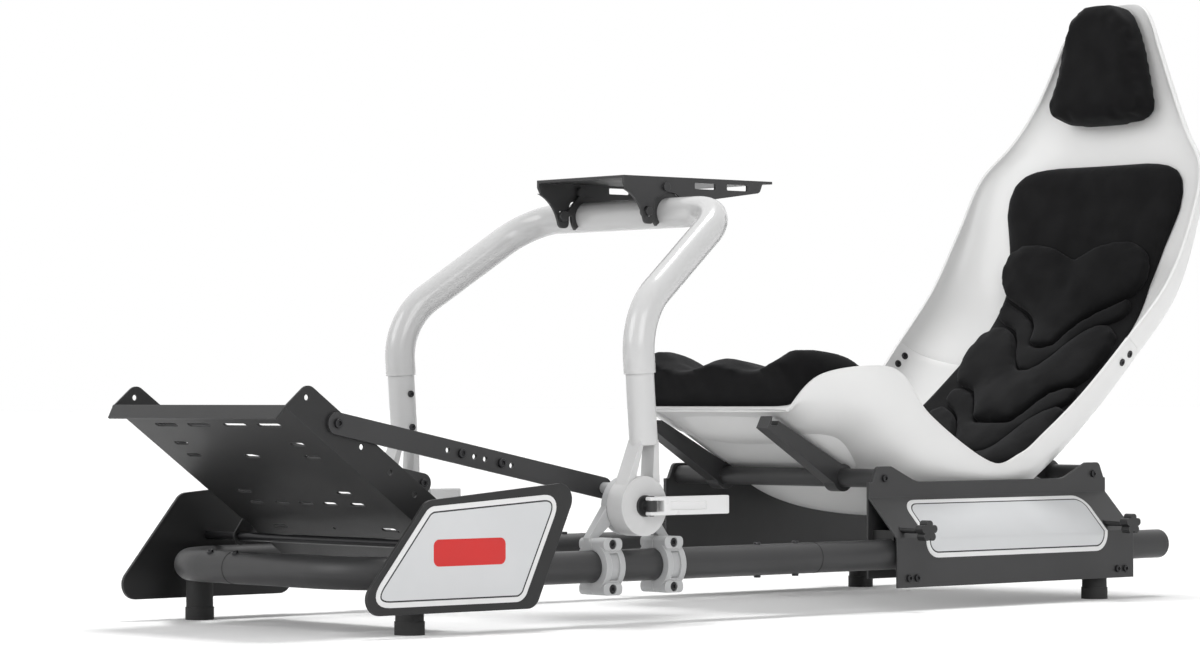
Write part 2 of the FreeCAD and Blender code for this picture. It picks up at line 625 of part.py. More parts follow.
# The wheel hoop is one bent tube: two uprights, two arms that lean back and in, and a cross tube.
upright_lean = (size("hoop_knee_x") - size("stub_foot_x")) / (size("hoop_knee_z") - size("stub_foot_z"))
hoop_foot_x = size("stub_foot_x") + upright_lean * (size("hoop_foot_z") - size("stub_foot_z"))
hoop_left = [
    V(hoop_foot_x, size("hoop_half"), size("hoop_foot_z")),
    V(size("hoop_knee_x"), size("hoop_half"), size("hoop_knee_z")),
    V(size("hoop_top_x"), size("hoop_top_half"), size("hoop_top_z")),
]
hoop_points = hoop_left + [V(point.x, -point.y, point.z) for point in reversed(hoop_left)]
hoop_radii = [size("knee_bend"), size("top_bend"), size("top_bend"), size("knee_bend")]
shape_node("wheel_hoop", bent_tube(hoop_points, hoop_radii, size("hoop_dia"), size("tube_wall")))


# A knuckle plugs into the foot of each upright: a stub in the tube stands on two prongs that splay down to
# a disc beside the casting's cheek.
def knuckle_shape():
    """The left knuckle."""
    pivot = V(size("pivot_x"), size("hoop_half"), size("pivot_z"))
    thick = size("disc_thick")
    deep = size("prong_deep")
    prong = size("prong_thick")
    disc_r = size("disc_round")
    stub_r = size("hoop_dia") / 2 - size("tube_wall")
    low_y = pivot.y - deep / 2
    upward = (hoop_left[1] - hoop_left[0]).normalize()
    stub_foot = V(size("stub_foot_x"), pivot.y, size("stub_foot_z"))
    stub_long = (size("hoop_foot_z") + size("stub_in") - size("stub_foot_z")) / upward.z
    pieces = [
        Part.makeCylinder(disc_r, thick, V(pivot.x, pivot.y - thick / 2, pivot.z), V(0, 1, 0)),
        Part.makeCylinder(stub_r, stub_long, stub_foot, upward),
    ]
    for sign in (1, -1):
        top_x = stub_foot.x + sign * (stub_r - prong / 2)
        rim_x = pivot.x + sign * disc_r * 0.75
        rim_z = pivot.z + disc_r * 0.6
        outline = Part.makePolygon([
            V(top_x, low_y, stub_foot.z + prong),
            V(rim_x, low_y, rim_z),
            V(rim_x - sign * prong, low_y, rim_z - 2 * prong),
            V(rim_x - 2 * sign * prong, low_y, rim_z),
            V(top_x - sign * prong, low_y, stub_foot.z + prong),
            V(top_x, low_y, stub_foot.z + prong),
        ])
        pieces.append(Part.Face(outline).extrude(V(0, deep, 0)))
    pin = Part.makeCylinder(size("pin_dia") / 2, 2 * thick, V(pivot.x, pivot.y - thick, pivot.z), V(0, 1, 0))
    return pieces[0].fuse(pieces[1:]).cut(pin).removeSplitter()


# The pivot pin runs through the casting and the knuckle, has a collar on the knuckle's face and ends in the
# eye that the lever turns on.
lever_y = size("hoop_half") + size("disc_thick") / 2 + size("lever_gap")


def pivot_pin_shape():
    """The left pin with its inner head, collar and outer eye."""
    pivot = V(size("pivot_x"), size("hoop_half"), size("pivot_z"))
    cheek_out = size("disc_thick") / 2 + size("cheek_gap") + size("cheek_thick")
    head_high = size("bolt_dia") * 0.75
    eye = size("eye_wide")
    low_y = pivot.y - cheek_out - size("slack")
    pin = Part.makeCylinder(size("pin_dia") / 2, lever_y - low_y, V(pivot.x, low_y, pivot.z), V(0, 1, 0))
    head = Part.makeCylinder(size("pin_dia") * 0.8, head_high,
                             V(pivot.x, low_y - head_high, pivot.z), V(0, 1, 0))
    collar = Part.makeCylinder(size("collar_round"), size("collar_high"),
                               V(pivot.x, pivot.y + size("disc_thick") / 2, pivot.z), V(0, 1, 0))
    eye_low = pivot.z - eye / 2 + size("slack")
    eye_bar = Part.makeCylinder(eye / 2, eye - 2 * size("slack"), V(pivot.x, lever_y, eye_low), V(0, 0, 1))
    bore = Part.makeCylinder(size("bolt_dia") / 2, 2 * eye, V(pivot.x, lever_y, pivot.z - eye), V(0, 0, 1))
    return pin.fuse([head, collar, eye_bar]).cut(bore).removeSplitter()


# The lever's forked head holds the eye, and its flat arm lies back along the frame when it is shut.
def lever_shape():
    """The left lever with its cross pin."""
    pivot_x = size("pivot_x")
    thick = size("lever_thick")
    high = size("lever_high")
    eye = size("eye_wide")
    mid_z = size("pivot_z")
    long = size("lever_long")
    arm = Part.makeBox(long, thick, high, V(pivot_x - long, lever_y - thick / 2, mid_z - high / 2))
    nose = Part.makeCylinder(thick / 2, high, V(pivot_x, lever_y, mid_z - high / 2), V(0, 0, 1))
    gap = Part.makeBox(eye * 2.4, 2 * thick, eye, V(pivot_x - eye * 1.2, lever_y - thick, mid_z - eye / 2))
    solid = arm.fuse(nose).cut(gap)
    pin = Part.makeCylinder(size("bolt_dia") / 2 - size("slack"), high, V(pivot_x, lever_y, mid_z - high / 2),
                            V(0, 0, 1))
    return solid.fuse(pin).removeSplitter()


for side, sign in SIDES:
    shape_node(f"hoop_knuckle_{side}", mirrored(knuckle_shape(), sign))
    shape_node(f"pivot_pin_{side}", mirrored(pivot_pin_shape(), sign))
    shape_node(f"lever_{side}", mirrored(lever_shape(), sign))


# A bracket plate is welded over the cross tube on each side and carries the wheel deck's two bolts.
deck_flange_in = size("deck_half") - size("deck_sheet")
bracket_out = deck_flange_in - size("slack")
hoop_top = V(size("hoop_top_x"), 0, size("hoop_top_z"))
deck_pivot = hoop_top + V(size("deck_pivot_x"), 0, size("deck_pivot_z"))
deck_slot = hoop_top + V(size("deck_slot_x"), 0, size("deck_slot_z"))


def deck_bracket_shape():
    """The left bracket with its two studs."""
    thick = size("bracket_thick")
    low_y = bracket_out - thick
    lug = size("bolt_dia")
    tube_r = size("hoop_dia") / 2
    ring_r = tube_r + lug
    edge = [(hoop_top, ring_r), (deck_slot, lug), (deck_pivot, lug)]
    pieces = []
    for spot, radius in edge:
        pieces.append(Part.makeCylinder(radius, thick, V(spot.x, low_y, spot.z), V(0, 1, 0)))
    web = Part.makePolygon([V(spot.x, low_y, spot.z) for spot, _ in edge + edge[:1]])
    pieces.append(Part.Face(web).extrude(V(0, thick, 0)))
    below = Part.makeBox(4 * ring_r, 3 * thick, 2 * ring_r,
                         V(hoop_top.x - 2 * ring_r, low_y - thick, hoop_top.z - 2 * ring_r))
    below.rotate(hoop_top, V(0, 1, 0), size("bracket_turn"))
    pieces[0] = pieces[0].cut(below)
    stud_long = size("deck_sheet") + 2 * size("slack")
    for spot in (deck_pivot, deck_slot):
        shank = Part.makeCylinder(lug / 2, stud_long, V(spot.x, bracket_out, spot.z), V(0, 1, 0))
        head = Part.makeCylinder(lug * 0.8, lug / 2, V(spot.x, bracket_out + stud_long, spot.z), V(0, 1, 0))
        pieces += [shank, head]
    tube = Part.makeCylinder(tube_r, 4 * thick, V(hoop_top.x, low_y - thick, hoop_top.z), V(0, 1, 0))
    return pieces[0].fuse(pieces[1:]).cut(tube).removeSplitter()


for side, sign in SIDES:
    shape_node(f"deck_bracket_{side}", mirrored(deck_bracket_shape(), sign))


# The wheel deck is a folded sheet: a flat top and two side flanges with a fin that reaches down in front.
def wheel_deck_shape():
    """The folded sheet with its bolt holes, slots and windows."""
    sheet_t = size("deck_sheet")
    half = size("deck_half")
    top = hoop_top.z + size("deck_top")
    front = hoop_top.x + size("deck_front")
    rear = hoop_top.x + size("deck_rear")
    lug = size("bolt_dia") * 1.5
    deep = size("flange_deep")
    back = size("flange_back")
    clear = size("hoop_dia") / 2 + size("deck_clear")
    fin_round = size("bolt_dia")
    flange_loop = rounded_loop([
        (front, top, 0),
        (rear, top, 0),
        (rear + back, top - sheet_t, sheet_t / 2),
        (rear + 1.3 * back, top - 0.6 * deep, fin_round),
        (hoop_top.x - 3 * deep, top - deep, fin_round),
        (hoop_top.x + clear, top - deep, fin_round),
        (deck_slot.x - lug, deck_slot.z - 1.5 * lug, fin_round),
        (deck_slot.x + lug / 2, deck_slot.z - 1.5 * lug, fin_round),
        (deck_slot.x + 1.5 * lug, top - deep, 2 * deep),
        (front - lug / 2, top - size("flange_nose"), fin_round),
        (front, top - size("flange_nose") / 2, sheet_t),
    ])
    turn = math.degrees(math.atan2(deck_slot.z - deck_pivot.z, deck_slot.x - deck_pivot.x)) + 90
    swing = 2 * (deck_slot - deck_pivot).Length * math.radians(size("deck_tilt"))
    hole = size("bolt_dia") + 2 * size("slack")
    slot_end = 2 * size("slack")
    loops = [
        flange_loop,
        round_hole(deck_pivot.x, deck_pivot.z, hole),
        slot_hole(deck_slot.x, deck_slot.z, hole + slot_end, hole + swing + 2 * slot_end, turn),
        round_hole(hoop_top.x, hoop_top.z, 2 * clear),
    ]
    window_top = top - size("window_drop")
    window_low = window_top - size("window_high")
    for count in range(2):
        low_x = rear + size("window_back") + count * size("window_step")
        high_x = low_x + size("window_long")
        loops.append(rounded_loop([
            (low_x, window_low, sheet_t / 2),
            (high_x, window_low, sheet_t / 2),
            (high_x, window_top, sheet_t / 2),
            (low_x, window_top, sheet_t / 2),
        ]))
    wires = [Part.Wire([edge.toShape() for edge in loop]) for loop in loops]
    flange = Part.Face(wires[0]).cut([Part.Face(wire) for wire in wires[1:]])
    solid = Part.makeBox(front - rear, 2 * half, sheet_t, V(rear, -half, top - sheet_t))
    for _, sign in SIDES:
        wall = flange.copy()
        wall.rotate(V(), V(1, 0, 0), 90)
        wall.translate(V(0, half if sign > 0 else -half + sheet_t, 0))
        solid = solid.fuse(wall.extrude(V(0, -sheet_t, 0)))
    mid_x = (front + rear) / 2
    for step_x in (-0.5, 0.5):
        for step_y in (-0.5, 0.5):
            spot = V(mid_x + step_x * size("wheel_hole_x"), step_y * size("wheel_hole_y"), top - 2 * sheet_t)
            solid = solid.cut(Part.makeCylinder(size("wheel_hole_dia") / 2, 3 * sheet_t, spot))
    return solid.removeSplitter()


shape_node("wheel_deck", wheel_deck_shape())

# Each seat slide is a hat of two sheets over the rail: the outer sheet leans in above the rail and meets
# the inner sheet at two ears. A plastic glide inside bears on the tube.
slide_face = size("rail_gauge") + size("rail_dia") / 2 + size("slide_gap") + size("slide_sheet")
knob_spots = (size("slide_front") - size("front_knob_inset"), size("slide_rear") + size("rear_knob_inset"))
ear_spots = (size("seat_tube_front"), size("seat_tube_rear"))
knob_shank = size("bolt_dia")
knob_height = size("rail_height") + size("knob_height")
tube_height = size("rail_height") + size("seat_tube_z")
glide_out = size("rail_gauge") + size("rail_dia") / 4


def slide_shape():
    """The left slide."""
    thick = size("slide_sheet")
    front = size("slide_front")
    rear = size("slide_rear")
    long = front - rear
    plane = size("ear_plane")
    low = size("rail_height") - size("slide_low")
    shoulder = size("rail_height") + size("slide_shoulder")
    neck = size("rail_height") + size("slide_neck")
    ear_top = tube_height + size("ear_round")
    lean = math.atan2(slide_face - plane - thick, neck - shoulder)
    drop = thick * math.tan(lean / 2)
    outer = [
        (slide_face, low),
        (slide_face, shoulder),
        (plane + thick, neck),
        (plane + thick, ear_top),
        (plane - thick, ear_top),
        (plane - thick, low + thick * 4),
        (plane, low + thick * 4),
        (plane, neck - drop),
        (slide_face - thick, shoulder - drop),
        (slide_face - thick, low),
    ]
    section = Part.makePolygon([V(rear, y, z) for y, z in outer + outer[:1]])
    solid = Part.Face(section).extrude(V(long, 0, 0))
    saddle = size("rail_height") + size("slide_saddle")
    ear_r = size("ear_round")
    shoulder_x = ear_r * 0.8
    toe_x = ear_r * 1.4
    ramp_x = ear_r + size("ear_ramp")
    ear_loop = rounded_loop([
        (rear - thick, ear_top + thick, 0),
        (rear - thick, saddle, 0),
        (ear_spots[1] - toe_x, saddle, thick),
        (ear_spots[1] - shoulder_x, ear_top, ear_r / 2),
        (ear_spots[1] + shoulder_x, ear_top, ear_r / 2),
        (ear_spots[1] + ramp_x, saddle, size("ear_ramp")),
        (ear_spots[0] - ramp_x, saddle, size("ear_ramp")),
        (ear_spots[0] - shoulder_x, ear_top, ear_r / 2),
        (ear_spots[0] + shoulder_x, ear_top, ear_r / 2),
        (ear_spots[0] + toe_x, saddle, thick),
        (front + thick, saddle, 0),
        (front + thick, ear_top + thick, 0),
    ])
    trim = Part.Face(Part.Wire([edge.toShape() for edge in ear_loop]))
    trim.rotate(V(), V(1, 0, 0), 90)
    trim.translate(V(0, plane + 4 * thick, 0))
    solid = solid.cut(trim.extrude(V(0, -8 * thick, 0)))
    holes = []
    for spot in knob_spots:
        holes.append(Part.makeCylinder(knob_shank / 2 + 2 * size("slack"), size("knob_out"),
                                       V(spot, plane + thick, knob_height), V(0, 1, 0)))
    return solid.cut(holes).removeSplitter()


def glide_shape():
    """The left glide, hollowed to the rail."""
    plane = size("ear_plane")
    rail_top = size("rail_height") + size("rail_dia") / 2
    low_x = size("slide_rear") + size("glide_end")
    long = size("slide_front") - size("glide_end") - low_x
    bar = Part.makeBox(long, glide_out - plane, size("glide_high") + size("rail_dia") / 4,
                       V(low_x, plane, rail_top - size("rail_dia") / 4))
    rail = Part.makeCylinder(size("rail_dia") / 2 + size("slack"), 2 * long,
                             V(low_x - long / 2, size("rail_gauge"), size("rail_height")), V(1, 0, 0))
    return bar.cut(rail).removeSplitter()


KNOB_LOBES = 5


def knob_shape(spot):
    """A star knob on its screw, left side."""
    out = size("knob_out")
    height = knob_height
    head_low = out - size("knob_long")
    low_y = glide_out + size("slack")
    lobe_r = size("knob_lobe")
    shank = Part.makeCylinder(knob_shank / 2, head_low - low_y, V(spot, low_y, height), V(0, 1, 0))
    hub_r = size("knob_dia") / 2 - lobe_r
    head = Part.makeCylinder(hub_r, size("knob_long"), V(spot, head_low, height), V(0, 1, 0))
    lobes = []
    for index in range(KNOB_LOBES):
        angle = 2 * math.pi * index / KNOB_LOBES
        lobe_at = V(spot + hub_r * math.sin(angle), head_low, height + hub_r * math.cos(angle))
        lobes.append(Part.makeCylinder(lobe_r, size("knob_long"), lobe_at, V(0, 1, 0)))
    return head.fuse(lobes + [shank]).removeSplitter()


for side, sign in SIDES:
    shape_node(f"seat_slide_{side}", mirrored(slide_shape(), sign))
    shape_node(f"seat_glide_{side}", mirrored(glide_shape(), sign))
    for end, spot in zip(("front", "rear"), knob_spots):
        shape_node(f"knob_{end}_{side}", mirrored(knob_shape(spot), sign))

# Two cross tubes join the slides at their ears.
for end in ("front", "rear"):
    reach = "(Sizes.ear_plane - Sizes.slide_sheet)"
    outer = rod(f"seat_tube_{end}_outside", ALONG_Y, "Sizes.seat_tube_dia / 2", f"2 * {reach}",
                f"Sizes.seat_tube_{end}", f"-{reach}", "Sizes.rail_height + Sizes.seat_tube_z")
    inner = rod(f"seat_tube_{end}_inside", ALONG_Y, "Sizes.seat_tube_dia / 2 - Sizes.tube_wall", f"2 * {reach}",
                f"Sizes.seat_tube_{end}", f"-{reach}", "Sizes.rail_height + Sizes.seat_tube_z")
    node(cut(f"seat_tube_{end}_tube", outer, inner), f"seat_tube_{end}")


# The seat is a bowl that runs smoothly through its stations. A place along it is a station's number, with
# a fraction for what lies between two stations.
CURVE_POINTS = 15
STEPS_PER_STATION = 3
STATION_NAMES = [station[0] for station in SEAT_STATIONS]


def station_at(along):
    """The bowl's fields at a place along the seat."""
    last = len(STATION_NAMES) - 1
    before = min(int(along), last - 1)
    share = along - before
    fields = []
    for field in STATION_FIELDS:
        knots = []
        for index in range(before - 1, before + 3):
            knots.append(size(f"{STATION_NAMES[min(max(index, 0), last)]}_{field}"))
        start_slope = (knots[2] - knots[0]) / 2
        end_slope = (knots[3] - knots[1]) / 2
        rise = knots[2] - knots[1]
        fields.append(knots[1] + share * (start_slope + share * (
            3 * rise - 2 * start_slope - end_slope + share * (start_slope + end_slope - 2 * rise))))
    return fields


def bowl_curve(along, offset, reach):
    """Points across the bowl at one place, pushed inward by the offset, and the way up from its floor."""
    floor_x, floor_z, rim_x, rim_z, half = station_at(along)
    rail = V(0, 0, size("rail_height"))
    floor = rail + V(floor_x, 0, floor_z)
    up = rail + V(rim_x, 0, rim_z) - floor
    depth = up.Length
    up.normalize()
    power = size("bowl_power")
    points = []
    for index in range(CURVE_POINTS):
        turn = (2 * index / (CURVE_POINTS - 1) - 1) * reach * math.pi / 2
        lean = math.copysign(abs(math.sin(turn)) ** (2 / power), turn)
        fall = abs(math.cos(turn)) ** (2 / power)
        sideways = -math.copysign(abs(lean) ** (power - 1), lean) / half
        normal = V(0, sideways, 0) + up * (fall ** (power - 1) / depth)
        points.append(floor + V(0, half * lean, 0) + up * (depth * (1 - fall)) + normal.normalize() * offset)
    return points, up


def smooth_edge(points):
    """A smooth edge through points."""
    curve = Part.BSplineCurve()
    curve.interpolate(points)
    return curve.toShape()


def closed_section(below, above):
    """A closed wire from two curves across the bowl."""
    return Part.Wire([
        smooth_edge(below),
        Part.LineSegment(below[-1], above[-1]).toShape(),
        smooth_edge(above),
        Part.LineSegment(above[0], below[0]).toShape(),
    ])


def places(first, last):
    """Places along the seat between two of them, both included."""
    count = max(round((last - first) * STEPS_PER_STATION), 1)
    return [first + (last - first) * index / count for index in range(count + 1)]


def shell_shape(first, last):
    """A stretch of the moulded shell."""
    wires = []
    for along in places(first, last):
        below, _ = bowl_curve(along, -size("shell_wall"), 1)
        above, _ = bowl_curve(along, 0, 1)
        wires.append(closed_section(below, above))
    return Part.makeLoft(wires, True, True)


def spread(values, share):
    """A value from an even list at a share of its length."""
    spot = share * (len(values) - 1)
    before = min(int(spot), len(values) - 2)
    return values[before] + (values[before + 1] - values[before]) * (spot - before)


PAD_SOFT = 12
EDGE_POWER = 8
HUMP_LIFT = 1.8


def pad_shape(first, last, heights, reaches, humps):
    """A soft pad that lies in the bowl and thins out to its edges, with its lists spread evenly along it."""
    steps = [first] + list(range(math.floor(first) + 1, math.ceil(last))) + [last]
    edge = size("pad_edge")
    wires = []
    for step in steps:
        share = (step - first) / (last - first)
        below, up = bowl_curve(step / STEPS_PER_STATION, size("pad_gap"), spread(reaches, share))
        middle = below[CURVE_POINTS // 2]
        above = []
        for index, point in enumerate(below):
            across = 2 * index / (CURVE_POINTS - 1) - 1
            pitch = point.y / size("hump_pitch")
            swell = spread(humps, share) * (math.cos(2 * math.pi * pitch) + HUMP_LIFT * pitch ** 2)
            room = spread(heights, share) + swell - (point - middle).dot(up) - edge
            fill = (room + math.hypot(room, PAD_SOFT)) / 2
            above.append(point + up * (edge + fill * (1 - across ** EDGE_POWER)))
        wires.append(closed_section(below, above))
    return Part.makeLoft(wires, True, True)


seam = STATION_NAMES.index("waist")
seat_end = len(STATION_NAMES) - 1
shape_node("seat_pan", shell_shape(0, seam))
shape_node("seat_back", shell_shape(seam, seat_end))

# Soft pads lie in the bowl: a deep thigh cushion, a lumbar pad, a back pad and a head pad. Each has the
# steps along the seat where it starts and ends, its heights, its reach round the bowl and its humps.
PADS = (
    ("thigh_cushion", 4, 22, (78, 118, 118, 112, 112, 104, 86, 58, 50, 44),
     (0.79, 0.79, 0.8, 0.84, 0.88, 0.9, 0.92, 0.93, 0.92, 0.9), (5, 7, 7, 5, 2, 0, 0)),
    ("lumbar_pad", 22.08, 34, (44, 46, 46, 44, 40, 34), (0.9, 0.84, 0.7, 0.52, 0.45, 0.44), (0, 0)),
    ("back_pad", 34.08, 40, (30, 29, 31, 20), (0.44, 0.47, 0.51, 0.42), (0, 0)),
    ("head_pad", 43, 47, (26, 44, 45, 42, 24), (0.42, 0.52, 0.53, 0.53, 0.44), (0, 0)),
)
for label, first, last, heights, reaches, humps in PADS:
    shape_node(label, pad_shape(first, last, heights, reaches, humps))


# Two arms run from the front cross tube up to the pan, and two clips hold its tail on the rear tube.
def bowl_filled(first, last):
    """The bowl's outer form without its hollow."""
    wires = []
    for along in places(first, last):
        below, _ = bowl_curve(along, -size("shell_wall") - size("slack"), 1)
        wires.append(Part.Wire([smooth_edge(below), Part.LineSegment(below[-1], below[0]).toShape()]))
    filled = Part.makeLoft(wires, True, True)
    if filled.Volume < 0:
        filled.reverse()
    return filled


def hem_block():
    """The space that the pan's front hem takes up, from side to side."""
    wall = size("shell_wall")
    gap = wall / 3
    hem = V(size("hem_rim_x"), -size("wing_half"), size("rail_height") + size("hem_floor_z") - gap)
    lip = V(size("lip_rim_x"), -size("wing_half"), size("rail_height") + size("lip_rim_z") + gap)
    front = V(gap, 0, 0)
    back = V(-2 * wall, 0, 0)
    face = Part.Face(Part.makePolygon([hem + front, lip + front, lip + back, hem + back, hem + front]))
    return face.extrude(V(0, 2 * size("wing_half"), 0))


pan_filled = bowl_filled(STATION_NAMES.index("lip"), seam)


def seat_arm_shape(tube_x, top):
    """A bar at the arms' own plane, from a cross tube to the pan's underside."""
    low = V(tube_x, 0, tube_height)
    run = top - low
    across = V(-run.z, 0, run.x).normalize() * (size("arm_wide") / 2)
    narrow = across * (size("arm_top_wide") / size("arm_wide"))
    corners = [low - across, top - narrow, top + narrow, low + across]
    face = Part.Face(Part.makePolygon(corners + corners[:1]))
    thick = size("arm_thick")
    bar = face.extrude(V(0, thick, 0))
    eye = Part.makeCylinder(size("arm_wide") / 2 + 4, thick, low, V(0, 1, 0))
    solid = bar.fuse(eye)
    solid.translate(V(0, size("arm_half") - thick / 2, 0))
    tube = Part.makeCylinder(size("seat_tube_dia") / 2, 4 * size("arm_half"),
                             V(tube_x, -2 * size("arm_half"), tube_height), V(0, 1, 0))
    return solid.cut([tube, pan_filled, hem_block()]).removeSplitter()


ARMS = (
    ("seat_arm", size("seat_tube_front"), V(size("arm_top_x"), 0, size("rail_height") + size("arm_top_z"))),
    ("seat_clip", size("seat_tube_rear"), V(size("clip_top_x"), 0, size("rail_height") + size("clip_top_z"))),
)
for name, tube_x, top in ARMS:
    arm = seat_arm_shape(tube_x, top)
    for side, sign in SIDES:
        shape_node(f"{name}_{side}", mirrored(arm, sign))

doc.recompute()
for item in doc.Objects:
    if "Invalid" in item.State or "Error" in item.State:
        raise RuntimeError(f"{item.Label} failed: {item.State}")
os.makedirs("parts", exist_ok=True)
for item in nodes:
    shape = item.Shape
    if shape.isNull() or not shape.isValid() or len(shape.Solids) != 1:
        raise RuntimeError(f"{item.Label} is not one valid solid")
    shape.exportStep(f"parts/{item.Label}.step")
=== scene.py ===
import math

import bmesh
import bpy
from mathutils import Matrix, Vector
from mathutils.bvhtree import BVHTree


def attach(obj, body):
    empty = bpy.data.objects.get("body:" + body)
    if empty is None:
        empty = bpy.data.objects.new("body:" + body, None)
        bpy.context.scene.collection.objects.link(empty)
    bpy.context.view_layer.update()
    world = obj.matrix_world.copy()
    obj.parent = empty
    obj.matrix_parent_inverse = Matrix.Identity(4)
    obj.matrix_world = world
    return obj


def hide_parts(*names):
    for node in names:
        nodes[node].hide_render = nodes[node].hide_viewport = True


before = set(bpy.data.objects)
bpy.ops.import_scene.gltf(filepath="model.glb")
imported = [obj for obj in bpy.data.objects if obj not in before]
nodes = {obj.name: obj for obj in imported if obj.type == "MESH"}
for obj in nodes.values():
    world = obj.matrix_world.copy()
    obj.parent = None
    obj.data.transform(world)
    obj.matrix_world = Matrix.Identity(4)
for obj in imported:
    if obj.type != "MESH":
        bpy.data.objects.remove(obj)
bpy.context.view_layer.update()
SIDES = (("left", 1), ("right", -1))

# The floor frame is two steel rails carried on by a bent nose tube, powder-coated matte black. The coat is
# finely pebbled, and its edges are painted a little paler: partly rubbed wear, partly a painted highlight.
MM = 0.001


def shader_group(name, inputs, outputs):
    """An empty shader group with named sockets, and its two end nodes."""
    group = bpy.data.node_groups.new(name, "ShaderNodeTree")
    for label, value in inputs:
        socket = group.interface.new_socket(label, in_out="INPUT", socket_type="NodeSocketFloat")
        socket.default_value = value
    for label, kind in outputs:
        group.interface.new_socket(label, in_out="OUTPUT", socket_type=kind)
    return group, group.nodes.new("NodeGroupInput"), group.nodes.new("NodeGroupOutput")


def noise(tree, scale, detail, source):
    """A noise texture on a coordinate socket, with its scale given as a number or a socket."""
    texture = tree.nodes.new("ShaderNodeTexNoise")
    texture.inputs["Detail"].default_value = detail
    tree.links.new(source, texture.inputs["Vector"])
    if isinstance(scale, bpy.types.NodeSocket):
        tree.links.new(scale, texture.inputs["Scale"])
    else:
        texture.inputs["Scale"].default_value = scale
    return texture.outputs["Fac"]


def remap(tree, source, low, high, to_low, to_high):
    """A value stretched from one range to another."""
    stretch = tree.nodes.new("ShaderNodeMapRange")
    tree.links.new(source, stretch.inputs["Value"])
    for label, value in (("From Min", low), ("From Max", high), ("To Min", to_low), ("To Max", to_high)):
        stretch.inputs[label].default_value = value
    return stretch.outputs["Result"]


def blend_colour(tree, share, first, second):
    """A mix of two colours, each a socket or a colour, by a share."""
    mix = tree.nodes.new("ShaderNodeMix")
    mix.data_type = "RGBA"
    tree.links.new(share, mix.inputs["Factor"])
    for socket, colour in ((mix.inputs[6], first), (mix.inputs[7], second)):
        if isinstance(colour, bpy.types.NodeSocket):
            tree.links.new(colour, socket)
        else:
            socket.default_value = (*colour, 1)
    return mix.outputs[2]


# Pebbled grain: a fine height for the bump, and a broad mask for shifts of tint and gloss.
pebble, pebble_in, pebble_out = shader_group(
    "pebble_grain", (("Grain", 1200.0), ("Patch", 8.0)),
    (("Height", "NodeSocketFloat"), ("Mask", "NodeSocketFloat")))
place = pebble.nodes.new("ShaderNodeTexCoord").outputs["Object"]
pebble.links.new(noise(pebble, pebble_in.outputs["Grain"], 2, place), pebble_out.inputs["Height"])
patches = noise(pebble, pebble_in.outputs["Patch"], 3, place)
pebble.links.new(remap(pebble, patches, 0.35, 0.65, 0, 1), pebble_out.inputs["Mask"])

# Softened edges: a normal that rounds every sharp edge, and a mask along the edges for rubbed wear and a
# painted highlight.
edges, edges_in, edges_out = shader_group(
    "soft_edges", (("Radius", 0.001),), (("Normal", "NodeSocketVector"), ("Wear and Highlight", "NodeSocketFloat")))
rounding = edges.nodes.new("ShaderNodeBevel")
rounding.samples = 6
edges.links.new(edges_in.outputs["Radius"], rounding.inputs["Radius"])
surface = edges.nodes.new("ShaderNodeNewGeometry")
turn = edges.nodes.new("ShaderNodeVectorMath")
turn.operation = "DOT_PRODUCT"
edges.links.new(rounding.outputs["Normal"], turn.inputs[0])
edges.links.new(surface.outputs["Normal"], turn.inputs[1])
# The edge mask carries both rubbed wear and a painted highlight.
edges.links.new(remap(edges, turn.outputs["Value"], 0.99, 0.8, 0, 1), edges_out.inputs["Wear and Highlight"])
edges.links.new(rounding.outputs["Normal"], edges_out.inputs["Normal"])


def group_node(tree, group, **values):
    """A group placed in a material with its own values."""
    item = tree.nodes.new("ShaderNodeGroup")
    item.node_tree = group
    for label, value in values.items():
        item.inputs[label].default_value = value
    return item


def coated(name, colour, edge_wear_and_highlight, roughness, grain, bump, radius, spread=0.12, sockets={}):
    """A coated or moulded finish: grain, patches of tint, and softened edges painted paler for wear and as a
    painted highlight.
    """
    material = bpy.data.materials.new(name)
    material.use_nodes = True
    tree = material.node_tree
    shader = tree.nodes["Principled BSDF"]
    for label, value in sockets.items():
        shader.inputs[label].default_value = value
    grained = group_node(tree, pebble, Grain=grain, Patch=8.0)
    softened = group_node(tree, edges, Radius=radius)
    darker = [channel * (1 - spread) for channel in colour]
    tint = blend_colour(tree, grained.outputs["Mask"], colour, darker)
    # The edges are painted paler: partly rubbed wear, partly a painted highlight.
    tree.links.new(blend_colour(tree, softened.outputs["Wear and Highlight"], tint, edge_wear_and_highlight), shader.inputs["Base Color"])
    gloss = remap(tree, grained.outputs["Mask"], 0, 1, roughness * 0.94, roughness * 1.08)
    tree.links.new(gloss, shader.inputs["Roughness"])
    relief = tree.nodes.new("ShaderNodeBump")
    relief.inputs["Strength"].default_value = bump
    relief.inputs["Distance"].default_value = 0.0003
    tree.links.new(grained.outputs["Height"], relief.inputs["Height"])
    tree.links.new(softened.outputs["Normal"], relief.inputs["Normal"])
    tree.links.new(relief.outputs["Normal"], shader.inputs["Normal"])
    return material


def dress(material, *names):
    """Give CAD nodes their finish."""
    for name in names:
        nodes[name].data.materials.clear()
        nodes[name].data.materials.append(material)


def make_piece(name, shape, body, materials, sharp=35, closed=True):
    """A piece from a shape drawn in millimetres, riding on a body."""
    bmesh.ops.scale(shape, vec=(MM, MM, MM), verts=shape.verts)
    if closed:
        bmesh.ops.recalc_face_normals(shape, faces=shape.faces)
    mesh = bpy.data.meshes.new(name)
    shape.to_mesh(mesh)
    shape.free()
    for material in materials:
        mesh.materials.append(material)
    mesh.shade_smooth()
    mesh.set_sharp_from_angle(angle=math.radians(sharp))
    piece = bpy.data.objects.new(name, mesh)
    bpy.context.scene.collection.objects.link(piece)
    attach(piece, body)
    return piece


